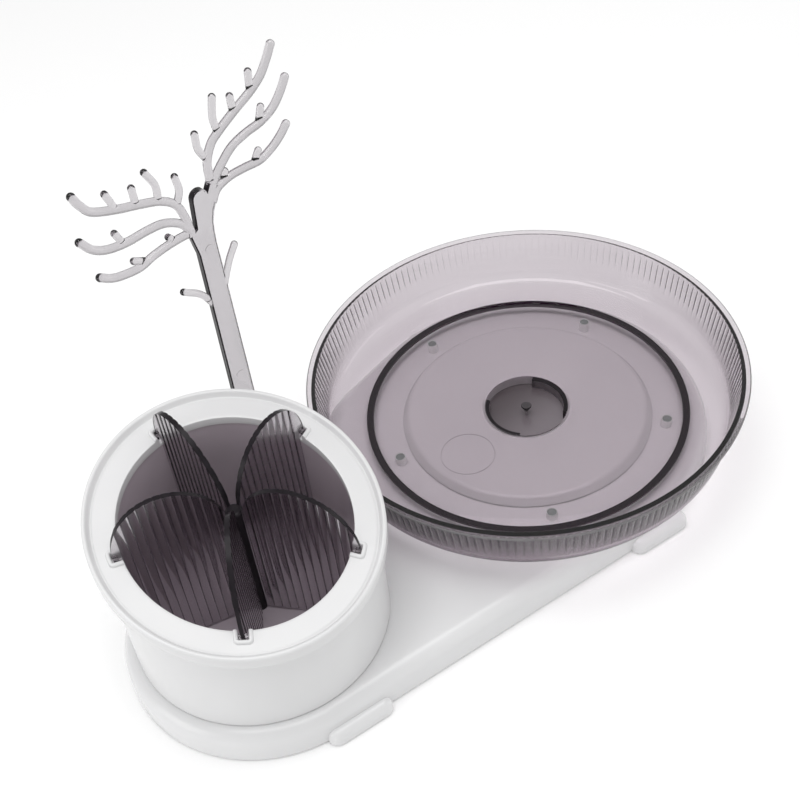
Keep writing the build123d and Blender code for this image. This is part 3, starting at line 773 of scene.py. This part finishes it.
# %% Tray mesh
levels = np.array([
    reed_top + 0.25, reed_top, reed_top - 0.4, reed_top - 0.8,
    52, 48, 46, 44, 42, 40, 38, 36, reed_low + 0.4,
])
upper = turned(inside, tray_x, coarse)
band = reeded_wall(levels)
lower = turned(outside, tray_x, coarse)
band_first = len(inside) * coarse
lower_first = band_first + len(levels) * fine
tray_faces = grid_quads(len(inside), coarse)
tray_faces += ring_joint(band_first, fine, band_first - coarse, coarse)
tray_faces += grid_quads(len(levels), fine, band_first)
tray_faces += ring_joint(lower_first - fine, fine, lower_first, coarse)
tray_faces += grid_quads(len(outside), coarse, lower_first)
tray_points = np.concatenate([part.reshape(-1, 3) for part in (upper, band, lower)])
tray = make_piece("tray", [(tray_points, tray_faces)], smoke, sharp=28)


# %% Where the tray's finishes go
tray_finishes = [plum_edge, dark_edge, rib_grey, hub_floor_painted_shade, pin_grey, lip_grey, hub_wall]


def finish_tray(piece, boxes):
    """Gives a piece the tray's finishes, always in one order, because fused pieces keep the
    numbers of their slots. boxes says which faces want a finish, by the finish's name."""
    for finish in tray_finishes:
        paint_faces(piece, finish, *boxes.get(finish.name, []))


floor_edge = recess_floor + hub_round
wall_end = tray_top - hub_round + 0.05
rib_sides = (rib_inner - 0.15, rib_outer + 0.15)
# Painted shade: the rib under the floor and the nub under the hub are dark, and the lip's outer
# edge is grey, as clear plastic seen along its edge is. The sunk hub's wall gets the tone of shaded
# clear plastic, and its floor gets painted shade.
finish_tray(tray, {
    "plum_edge": [
        {"r": rib_sides, "z": (0, tray_under - 0.2)},
        {"r": (-1, nub_radius + 0.2), "z": (0, recess_under - 0.1)},
    ],
    "hub_floor_painted_shade": [{"r": (0, recess_radius + 0.1), "z": (recess_floor - 0.1, floor_edge)}],
    "lip_grey": [{"r": (tray_radius - 0.7, tray_radius), "z": (lip_low + 0.3, rim_top - 0.01)}],
    "hub_wall": [{"r": (recess_radius - 0.2, recess_radius + 0.1), "z": (floor_edge, wall_end)}],
})

# %% [markdown]
# ## In the sunk hub
# Two curved ribs and a small pin with a cone for a head stand in the sunk hub, and a thin round
# gate mark is raised on the floor beside it. They could be pieces of their own. Here they are
# fused with the tray, because a wall left inside clear plastic would show. A rib is a short
# piece of a ring, with painted shade along its top: a dark band, where clear plastic seen along
# its edge is dark. The right one has painted shade at its far end too, and the pin has painted
# shade on its head.

# %% Ribs in the hub
rib_half_angle = 47.0
hub_rib_inner = 21.7
hub_rib_outer = 24.6
hub_rib_low = 20.4
hub_rib_high = 27.4
hub_rib_places = ((-12.0, 22.4), (168.0, 23.8))


def arc_rib(middle_turn, inner, middle, outer, low, high, half_angle, steps=40):
    """A piece of a ring: a rounded block section carried along an arc, closed at both ends."""
    section = rounded_profile([
        (inner, low, 0), (outer, low, 0), (outer, high, 0.5), (middle, high, 0), (inner, high, 0.5),
    ], closed=True)
    turn = np.radians(np.linspace(middle_turn - half_angle, middle_turn + half_angle, steps + 1))
    radius = section[:, 0]
    x = tray_x + radius * np.cos(turn)[:, None]
    y = radius * np.sin(turn)[:, None]
    return points_of(x, y, section[:, 1]), capped_grid(steps + 1, len(section))


hub_pieces = []
for i, (turn, middle) in enumerate(hub_rib_places):
    shell = arc_rib(
        turn, hub_rib_inner, middle, hub_rib_outer, hub_rib_low, hub_rib_high, rib_half_angle,
    )
    rib = make_piece(f"hub_rib_{i}", [shell], smoke)
    top = (hub_rib_high - 0.6, hub_rib_high + 0.1)
    inner, outer = hub_rib_inner - 0.1, hub_rib_outer + 0.1
    dark_to = outer if i == 0 else middle
    # Painted shade along the rib's top: dark all across on the right rib, dark then grey on the
    # other, and dark on the right rib's far end.
    boxes = {"dark_edge": [{"r": (inner, dark_to), "z": top}]}
    boxes["rib_grey"] = [{"r": (dark_to, outer), "z": top}]
    if i == 0:
        boxes["dark_edge"].append({"y": (0, outer), "ny": (0.7, 2)})
    finish_tray(rib, boxes)
    hub_pieces.append(rib)

# %% Gate mark
gate_low = 27.6
gate_top = 28.16
gate_radius = 15.3
gate_foot = 0.5
gate_crest = 0.2
gate_offset = 50.0
gate_forward = 2.7
gate_columns = 120
gate_profile = rounded_profile([
    (gate_radius - gate_foot, gate_low, 0), (gate_radius + gate_foot, gate_low, 0),
    (gate_radius + gate_crest, gate_top, 0.08), (gate_radius - gate_crest, gate_top, 0.08),
], closed=True)
gate, faces = turned_shell(gate_profile, tray_x - gate_offset, gate_columns, closed=True)
gate[..., 1] -= gate_forward
hub_pieces.append(make_piece("gate_mark", [(gate, faces)], smoke))

# %% Pin with a cone for a head
pin_top = 27.9
pin_rim = 27.2
pin_head = 3.0
pin_stem = 0.9
pin_neck = 23.4
pin_low = 20.4
head_low = 27.0
stem_high = pin_neck + 0.2
pin_columns = 48
pin_profile = rounded_profile([
    (0, pin_top, 0), (pin_head, pin_top, 0.5), (pin_head, pin_rim, 0.2),
    (pin_stem, pin_neck, 0.4), (pin_stem, pin_low, 0), (0, pin_low, 0),
])
pin = make_piece("hub_pin", [turned_shell(pin_profile, tray_x, pin_columns)], smoke)
# Painted shade on the pin: grey on top and on the cone, dark round the head's rim, and the stem in
# the hub wall's tone.
finish_tray(pin, {
    "dark_edge": [{"z": (head_low, 99), "nz": (-2, 0.95)}],
    "pin_grey": [{"nz": (0.95, 2)}, {"z": (stem_high, head_low)}],
    "hub_wall": [{"z": (0, stem_high)}],
})
hub_pieces.append(pin)
fuse(tray, hub_pieces, sharp=28)

# %% [markdown]
# The reeds of the real tray blur what stands behind them a little, and its inside is polished.
# Two materials would do it, but a closed piece holds one volume only, so the wall's outside is
# marked with an attribute that the smoke-tinted finish reads.


# %% Satin on the reeded wall
def mark_satin(piece):
    """Marks the points of the reeded wall's outside with the satin attribute."""
    count = len(piece.data.vertices)
    places = np.empty(count * 3)
    piece.data.vertices.foreach_get("co", places)
    places = places.reshape(-1, 3) / MILLIMETRE
    height = places[:, 2]
    radius = np.hypot(places[:, 0] - tray_x, places[:, 1])
    reeded = (height > reed_low - 1) & (height < reed_top + 0.5)
    outside = reeded & (radius > wall_radius(height) - 0.6)
    marks = piece.data.attributes.new("satin", "FLOAT", "POINT")
    marks.data.foreach_set("value", outside.astype(float))
    print("satin points:", int(outside.sum()))


mark_satin(tray)
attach(tray, "tray")
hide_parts("tray_dish")

# %% [markdown]
# ## Brush cup
# The cup is a white tube cut on a slant. It could be cut with a boolean. Here its wall is turned
# like the tray and each row of points is lifted a share of the way to the slanted plane, whose
# height grows by 0.29 for each unit of y, so the wall keeps an even grid.

# %% Cup wall
cup_slope = 0.29
ring_flat = 97.8
cup_radius = 67.2
cup_thick = 2.2
cup_low = base_top + 0.4


def on_slant(y, above):
    """Height of a point that lies above the cup's slanted plane."""
    return ring_flat + cup_slope * y + above


def slanted_tube(inner, outer, low, above, columns=288, floor=None):
    """A tube from a level foot to the slanted plane. Rows are shared out between the two, so
    each point's height is low + share * (height of the slant there - low)."""
    turn = full_turn(columns)
    foot = np.array([(outer - 0.6, 0), (outer - 0.18, 0.18), (outer, 0.6)])
    steps = 6
    radius = np.concatenate([foot[:, 0], np.full(steps, outer), np.full(steps, inner)])
    along = np.concatenate([
        np.zeros(len(foot)), np.linspace(0.03, 1, steps), np.linspace(1, 0.03, steps),
    ])
    lift = np.concatenate([foot[:, 1], np.zeros(2 * steps)])
    if floor is not None:
        radius = np.concatenate([radius, [inner, inner - 0.6, inner - 2.0, 0, 0]])
        along = np.concatenate([along, np.zeros(5)])
        lift = np.concatenate([lift, [floor + 2.0, floor + 0.6, floor, floor, 0]])
    x = cup_x + radius[:, None] * np.cos(turn)
    y = radius[:, None] * np.sin(turn)
    z = low + along[:, None] * (on_slant(y, above) - low) + lift[:, None]
    return points_of(x, y, z), grid_quads(len(radius), columns, rows_closed=True)


ring_under = -4.4
cup_shell = slanted_tube(cup_radius - cup_thick, cup_radius, cup_low, ring_under)
cup_wall = make_piece("cup_wall", [cup_shell], white)
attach(cup_wall, "cup")
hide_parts("cup_shell")

# %% [markdown]
# ## Liner
# A thin smoke-tinted cup stands inside the white one and reaches up to the ring. It is the
# same slanted tube with a floor, and a rounded corner where the wall meets it. The real one is
# clear over white, which looks like one even tone, so it gets an opaque finish in that tone.

# %% Liner
liner_inner = 56.8
liner_outer = 58.4
liner_low = 26.95
liner_floor = 1.6
liner_shell = slanted_tube(
    liner_inner, liner_outer, liner_low, ring_under - 0.05, floor=liner_floor,
)
liner = make_piece("liner", [liner_shell], liner_smoke)
# The liner's floor gets its finish with painted shade.
paint_faces(liner, liner_floor_painted_shade, {"nz": (0.9, 2), "z": (0, liner_low + liner_floor + 0.45)})
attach(liner, "cup")
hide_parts("cup_liner")

# %% [markdown]
# ## Slanted ring
# The ring that caps the cup has a raised bead on its outside, a groove, a flat, and five
# notches with raised walls. The notches could be cut with booleans. Here the ring is a height
# above the slanted plane for each place (radius, column), which gives clean round shoulders.
# Near a notch the columns run side by side with it, a set distance from its middle line, so
# the notch keeps its width all the way in: the column's angle is asin(distance / radius).

# %% Ring heights
opening = 56.4
notch_half = 2.4
notch_end = 61.2
notch_depth = 3.0
notch_wall = 2.2
notch_rise = 1.2
notch_count = 5
notch_turns = np.radians(90 + 360 / notch_count * np.arange(notch_count))
near_notch = np.array([
    0, 0.8, 1.6, 2.3, 2.4, 2.42, 2.55, 2.8, 3.15, 3.5, 3.9, 4.25, 4.48, 4.57, 4.61, 5.2, 5.9,
])
near_notch = np.concatenate([-near_notch[:0:-1], near_notch])
between_notches = np.radians(np.linspace(6.5, 65.5, 60))


def ring_heights(radius, across):
    """Height above the flat: lowered in a notch, raised on the wall round it, else 0. across
    is the distance from the notch's middle line, and reach the distance out of the notch. The
    wall's section is rise * sqrt(1 - share ** 4), a flat top with round shoulders."""
    aside = np.abs(across) - notch_half
    end = radius - notch_end
    outside = np.hypot(np.maximum(aside, 0), np.maximum(end, 0))
    reach = np.where(outside > 0, outside, np.maximum(aside, end))
    share = np.clip(np.abs(reach / (notch_wall / 2) - 1), 0, 1)
    wall_height = notch_rise * np.sqrt(1 - share ** 4)
    return np.where(reach <= 0.01, -notch_depth, wall_height)


# %% Ring mesh
ring_radius = 72.1
bead_inner = 70.1
bead_rise = 2.1
skirt_outer = 64.8
skirt_inner = 62.4
skirt_low = -9.4
edge_drops = np.array([0.4, 0.1])
flat_radii = [
    56.4, 56.55, 56.9, 58, 59, 60, 60.8, 61.2, 61.22, 61.35, 61.6, 62.0, 62.4, 62.8, 63.1,
    63.3, 63.38, 63.42, 64.3, 65.4,
]
outer_rim = rounded_profile([
    (66.0, 0, 0), (67.3, 0, 1.2), (68.4, -0.4, 0.9), (bead_inner, bead_rise, 1.3),
    (ring_radius, bead_rise, 0.95), (ring_radius, ring_under, 0.5), (skirt_outer, ring_under, 0),
    (skirt_outer, skirt_low, 0.3), (skirt_inner, skirt_low, 0.3), (skirt_inner, ring_under, 0),
    (opening, ring_under, 0),
])


def ring_grid():
    """Points of the ring: rows run outwards over the flat, over the bead and back below. The
    first rows drop a little, which rounds the edge of the opening."""
    middle = len(near_notch) + len(between_notches)
    rows = len(flat_radii) + len(outer_rim)
    radius = np.concatenate([flat_radii, outer_rim[:, 0]])[:, None]
    columns = []
    for turn in notch_turns:
        angle = turn + np.arcsin(near_notch[None] / radius)
        lift = ring_heights(radius, near_notch[None] + 0 * radius)
        free = turn + between_notches[None] + 0 * radius
        columns.append((
            np.concatenate([angle, free], axis=1), np.concatenate([lift, 0 * free], axis=1),
        ))
    angle = np.concatenate([c[0] for c in columns], axis=1)
    lift = np.concatenate([c[1] for c in columns], axis=1)
    on_flat = len(flat_radii)
    lift[on_flat:] = outer_rim[:, 1][:, None]
    lift[:len(edge_drops)] -= edge_drops[:, None]
    x = cup_x + radius * np.cos(angle)
    y = radius * np.sin(angle)
    faces = grid_quads(rows, middle * len(notch_turns), rows_closed=True)
    return points_of(x, y, on_slant(y, lift)), faces


ring = make_piece("slanted_ring", [ring_grid()], white, sharp=34)
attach(ring, "cup")
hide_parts("cup_top_ring")

# %% [markdown]
# ## Petal divider
# Five upright petals split the cup into compartments. A petal is a plate with upright reeds
# on both sides and a crown like half an ellipse that stands on the slanted plane. Its outer
# end widens to a small head that sits in a notch of the ring. The reeds could be rods joined to
# the plate. Here the plate's thickness follows its reach from the axis, so they are one skin:
# seen from above a reed stands a little proud and is nearly flat across, which a fourth power
# gives. The crowns and the centre post get a dark finish, because clear plastic seen along its
# edge is dark.

# %% Petal shape
petal_low = 28.6
petal_half = 1.0
petal_reed = 0.42
petal_outer = 56.3
head_inner = 58.3
head_outer = 60.7
head_half = 2.1
head_rise = 0.8
head_round = 0.5
crown_start = 3.5
crown_rise = 31.0
shelf = 0.1 + cup_slope * head_half - notch_depth
post_radius = 4.4
reeds = 12
crown_middle = (crown_start + head_outer) / 2
crown_half = (head_outer - crown_start) / 2
column_shares = np.array([0, 0.035, 0.1, 0.25, 0.5, 0.75, 0.9, 0.965])


def petal_reach():
    """Distances from the axis where a petal's columns stand: eight to a reed, crowded at its
    valleys, then closer together towards the head, where the crown falls steeply."""
    step = (petal_outer - post_radius) / reeds
    starts = post_radius + step * np.arange(reeds)
    reeded = np.append((starts[:, None] + step * column_shares).reshape(-1), petal_outer)
    start = np.arccos((petal_outer + 0.1 - crown_middle) / crown_half)
    plain = crown_middle + crown_half * np.cos(np.linspace(start, 0.02, 14))
    return np.concatenate([[crown_start + 0.02, 3.9], reeded, plain])


def along_turn(turn, reach, side):
    """x and y of places that lie a reach out from the cup's axis and a side step across."""
    x = cup_x + reach * cos(turn) - side * sin(turn)
    return x, reach * sin(turn) + side * cos(turn)


def petal_shell(turn):
    """One petal: front and back sides as two sets of columns, each from the foot to the
    crown, closed into a loop. The crown is the slant plus rise * sqrt(1 - share ** 2)."""
    reach = petal_reach()
    level = ring_flat + cup_slope * sin(turn) * reach
    share = np.clip((reach - crown_middle) / crown_half, -1, 1)
    top = level + crown_rise * np.sqrt(1 - share ** 2)
    foot = np.where(reach > petal_outer + 0.05, level + shelf, petal_low)
    place = (reach - post_radius) / (petal_outer - post_radius) * reeds
    across = place % 1 * 2 - 1
    on_reeds = (reach >= post_radius) & (reach <= petal_outer)
    thick = petal_half + np.where(on_reeds, petal_reed * (1 - across ** 4), 0)
    loop_reach, loop_top, loop_foot = (np.append(v, v[::-1]) for v in (reach, top, foot))
    x, y = along_turn(turn, loop_reach, np.append(thick, -thick[::-1]))
    points = np.stack([points_of(x, y, loop_foot), points_of(x, y, loop_top)])
    count = len(loop_reach)
    faces = grid_quads(2, count)
    step = np.arange(len(reach) - 1)
    for row in (0, count):
        strip = np.stack([step, step + 1, count - 2 - step, count - 1 - step], axis=1) + row
        faces += strip.tolist()
    return points, faces


def head_shell(turn):
    """The small head at a petal's outer end: a rounded block in the notch of the ring."""
    section = rounded_profile([
        (head_inner, -head_half, head_round), (head_outer, -head_half, head_round),
        (head_outer, head_half, head_round), (head_inner, head_half, head_round),
    ], closed=True)
    reach, side = section.T
    x, y = along_turn(turn, reach, side)
    level = ring_flat + cup_slope * sin(turn) * reach
    points = np.stack([points_of(x, y, level + shelf), points_of(x, y, level + head_rise)])
    return points, capped_grid(2, len(section))


# %% Divider mesh
# The feet of the post and petals get the liner floor's finish with its painted shade, so they don't
# show against the floor.
on_foot = {"nz": (-2, -0.5), "z": (0, petal_low + 0.1)}
on_crown = {"nz": (0.01, 2), "z": (50, 999)}
post_top = ring_flat + 7.0
post_columns = 48
print("petals:", notch_count, "reeds to a side:", reeds, "columns:", len(petal_reach()))
post_profile = rounded_profile([
    (0, petal_low, 0), (post_radius, petal_low, 0), (post_radius, post_top, 1.6),
    (0, post_top, 0),
])
post_shell = turned_shell(post_profile, cup_x, post_columns)
divider = make_piece("divider", [post_shell], divider_smoke)
paint_faces(divider, dark_edge, {"z": (0, 999)})
paint_faces(divider, liner_floor_painted_shade, on_foot)
others = []
for i, turn in enumerate(notch_turns):
    others.append(make_piece(f"petal_{i}", [petal_shell(turn)], divider_smoke))
    paint_faces(others[-1], dark_edge, on_crown)
    paint_faces(others[-1], liner_floor_painted_shade, on_foot)
    others.append(make_piece(f"petal_head_{i}", [head_shell(turn)], divider_smoke))
fuse(divider, others, sharp=30)
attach(divider, "divider")
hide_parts("divider_petals", "divider_hub")

# %% [markdown]
# ## Jewellery tree
# The tree is one flat moulding: a tapered trunk with two faint round ejector marks, and round
# branches and twigs that all lie in one plane. The branches could be curve objects with a round
# bevel. Here a branch is a tube worked out as points, so that it is closed and can be fused
# with the trunk. Its middle line is a smooth curve through a few places, and the ring of points
# at each step is the curve's place + radius * (cos * normal + sin * y). The radius closes like
# half a ball at the tip.

# %% Places of the branches, from the trunk's middle line and up from the table
branches = [
    [(8, 218), (10, 227), (11, 238), (15, 246), (21, 250.5), (31, 256), (41, 261), (48, 266),
     (53, 272.5), (56.5, 278.2)],
    [(9, 220), (12, 227), (17, 232.5), (25, 239), (34, 242), (43, 243.5), (51, 247), (57, 253),
     (61, 259)],
    [(9, 217), (13, 222.5), (21, 225), (30, 225), (39, 224.5), (47, 227.5), (53, 231.5),
     (57, 235.5)],
    [(-5, 203), (-6, 209), (-7, 217), (-10, 226), (-17, 232), (-27, 236), (-39, 240), (-50, 245),
     (-54.5, 251), (-57, 257)],
    [(-4, 202), (-6, 208), (-10, 215), (-18, 220), (-27, 221.3), (-38, 221.3), (-48, 223),
     (-55, 227), (-60, 234)],
    [(-3, 205), (-8, 207.7), (-17, 208), (-27, 207), (-36, 205), (-45, 206), (-51, 208),
     (-56, 211.5)],
]
twigs = [
    [(11, 240), (8, 247), (8, 255)],
    [(20, 249.5), (19, 258), (21, 268)],
    [(30, 255), (30, 264)],
    [(41, 261), (42, 271)],
    [(42, 243), (45, 251)],
    [(17, 224), (19, 229)],
    [(35, 224), (39, 230)],
    [(-10, 225), (-6.5, 232), (-7, 240)],
    [(-18, 232), (-17.5, 241), (-21, 250)],
    [(-29, 236.5), (-29, 246)],
    [(-39, 240), (-42, 250)],
    [(-40, 221), (-43, 229)],
    [(-15, 208), (-18, 212)],
    [(-31, 206), (-38, 210)],
    [(4, 168), (10, 180.5), (15, 188)],
    [(-3, 160), (-9, 171), (-18, 178.5)],
]
branch_radius = 2.1
twig_radius = 1.8


def smooth_line(places, steps=10):
    """A curve through the places: between two of them, the cubic whose slope at a place is
    half the step from the place before to the place after."""
    p = np.array(places, float)
    slope = np.gradient(p, axis=0)
    share = np.linspace(0, 1, steps, endpoint=False)[None, :, None]
    a, b = p[:-1, None], p[1:, None]
    da, db = slope[:-1, None], slope[1:, None]
    s2, s3 = share ** 2, share ** 3
    line = (2 * s3 - 3 * s2 + 1) * a + (s3 - 2 * s2 + share) * da + (3 * s2 - 2 * s3) * b
    line = line + (s3 - s2) * db
    return np.concatenate([line.reshape(-1, 2), p[-1:]])


def branch_shell(places, radius, sides=20):
    """A round branch along its curve, flat at the root and closed like half a ball at the tip."""
    line = smooth_line(places)
    along = np.gradient(line, axis=0)
    along /= np.linalg.norm(along, axis=1, keepdims=True)
    cap = np.linspace(0, np.pi / 2, 7)[1:-1]
    line = np.concatenate([line, line[-1] + radius * np.sin(cap)[:, None] * along[-1]])
    along = np.concatenate([along, np.repeat(along[-1:], len(cap), axis=0)])
    size = np.concatenate([np.full(len(line) - len(cap), radius), radius * np.cos(cap)])
    turn = full_turn(sides)
    x = tree_x + line[:, :1] - along[:, 1:] * size[:, None] * np.cos(turn)
    z = line[:, 1:] + along[:, :1] * size[:, None] * np.cos(turn)
    y = tree_y + size[:, None] * np.sin(turn)
    return points_of(x, y, z), capped_grid(len(line), sides)


# %% Trunk
lobe_turn = np.radians(np.linspace(15, 176, 16))
lobe_across = 2.2
lobe_height = 223.6
lobe_radius = 4.4
lobe = [
    (lobe_across + lobe_radius * cos(turn), lobe_height + lobe_radius * sin(turn))
    for turn in lobe_turn
]
trunk_outline = [
    (-6.8, 6.4), (6.8, 6.4), (6.8, 20.2), (6.1, 90), (5.4, 196), (5.7, 202), (6.4, 208),
    (8.2, 213.5), (13.3, 223.8), (12.6, 227.2), (10.5, 228.6), (8.4, 228.2), *lobe,
    (-3.4, 208.8), (-4.4, 208.2), (-7.5, 206.3), (-6.6, 201), (-5.4, 194), (-6.1, 90),
    (-6.8, 20.2),
]
trunk_thickness = 4.0
trunk_bevel = 0.5


def trunk_shell():
    """The flat trunk: its outline at both faces, drawn in by the bevel along the outline's
    normals, and at full size between."""
    line = np.array(trunk_outline, float)
    before, after = np.roll(line, 1, axis=0), np.roll(line, -1, axis=0)
    first = (line - before) / np.linalg.norm(line - before, axis=1, keepdims=True)
    second = (after - line) / np.linalg.norm(after - line, axis=1, keepdims=True)
    along = first + second
    along /= np.linalg.norm(along, axis=1, keepdims=True)
    inward = np.column_stack([-along[:, 1], along[:, 0]])
    spread = 1 / np.maximum(np.sum(along * second, axis=1), 0.5)
    drawn = line + inward * trunk_bevel * spread[:, None]
    half = trunk_thickness / 2
    rows = [(drawn, -half), (line, -half + trunk_bevel), (line, half - trunk_bevel), (drawn, half)]
    points = np.stack([points_of(tree_x + p[:, 0], tree_y + depth, p[:, 1]) for p, depth in rows])
    return points, capped_grid(len(rows), len(line))


# %% Tree mesh
def ejector_mark(height, across, radius=2.4, columns=40):
    """A faint round mark on the trunk's front, a tenth of a millimetre proud."""
    profile = np.array([(0, 0.1), (radius - 0.1, 0.1), (radius, 0), (radius, -0.8), (0, -0.8)])
    turn = full_turn(columns)
    x = tree_x + across + profile[:, :1] * np.cos(turn)
    y = tree_y - trunk_thickness / 2 - profile[:, 1:]
    z = height + profile[:, :1] * np.sin(turn)
    return points_of(x, y, z), grid_quads(len(profile), columns)


ejector_places = ((195, 0.4), (112, 0))
tree = make_piece("jewellery_stand", [trunk_shell()], tree_smoke)
# Painted shade: the trunk's faces that look to the left are dark, as clear plastic seen along its
# edge is.
paint_faces(tree, dark_edge, {"nx": (-2, -0.4), "z": (base_top + 0.3, 999)})
arms = []
for i, place in enumerate(ejector_places):
    arms.append(make_piece(f"ejector_{i}", [ejector_mark(*place)], tree_smoke))
for name, lines, radius in (("branch", branches, branch_radius), ("twig", twigs, twig_radius)):
    for i, places in enumerate(lines):
        arms.append(make_piece(f"{name}_{i}", [branch_shell(places, radius)], tree_smoke))
fuse(tree, arms, sharp=40)
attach(tree, "jewellery_tree")
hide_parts("jewellery_tree")

# %% [markdown]
# ## Floor and light
# The organizer stands on a plain pale floor, lit softly from all round and a little more from
# above, as on a white studio table. One bright world would be enough for the white pieces, but
# clear plastic needs something to mirror, so three soft square lamps stand round it. The floor
# glows a little, as a lit table does, so it comes out as white as in the picture.

# %% Floor
floor_finish, nodes, links, shader, _ = new_finish("pale_floor")
set_inputs(shader, {
    "Base Color": (0.88, 0.88, 0.88, 1), "Emission Color": (1, 1, 1, 1),
    "Emission Strength": 0.11, "Roughness": 0.6,
})
floor_mesh = bpy.data.meshes.new("floor")
half_floor = 8.0
floor_signs = np.array([(-1, -1, 0), (1, -1, 0), (1, 1, 0), (-1, 1, 0)])
floor_mesh.from_pydata(half_floor * floor_signs, [], [(0, 1, 2, 3)])
floor_mesh.materials.append(floor_finish)
floor = bpy.data.objects.new("floor", floor_mesh)
bpy.context.scene.collection.objects.link(floor)

# %% World and lamps
world = bpy.data.worlds.new("studio")
world.use_nodes = True
set_inputs(world.node_tree.nodes["Background"], {"Color": (1, 1, 1, 1), "Strength": 0.62})
bpy.context.scene.world = world


def soft_lamp(name, place, target, size, power):
    """A square soft lamp that faces a target."""
    lamp = bpy.data.lights.new(name, "AREA")
    lamp.size = size
    lamp.energy = power
    holder = bpy.data.objects.new(name, lamp)
    holder.location = place
    holder.rotation_euler = (Vector(target) - Vector(place)).to_track_quat("-Z", "Y").to_euler()
    bpy.context.scene.collection.objects.link(holder)


soft_lamp("overhead", (-0.1, -0.1, 1.6), (0, 0, 0), size=1.2, power=13)
soft_lamp("left", (-1.6, 0.3, 0.6), (0, 0, 0.05), size=1.0, power=6)
soft_lamp("right", (1.5, -0.9, 0.4), (0, 0, 0.05), size=1.0, power=3.5)

# %% Colour
scene = bpy.context.scene
scene.view_settings.view_transform = "Standard"
scene.view_settings.look = "None"
scene.view_settings.exposure = 0.0
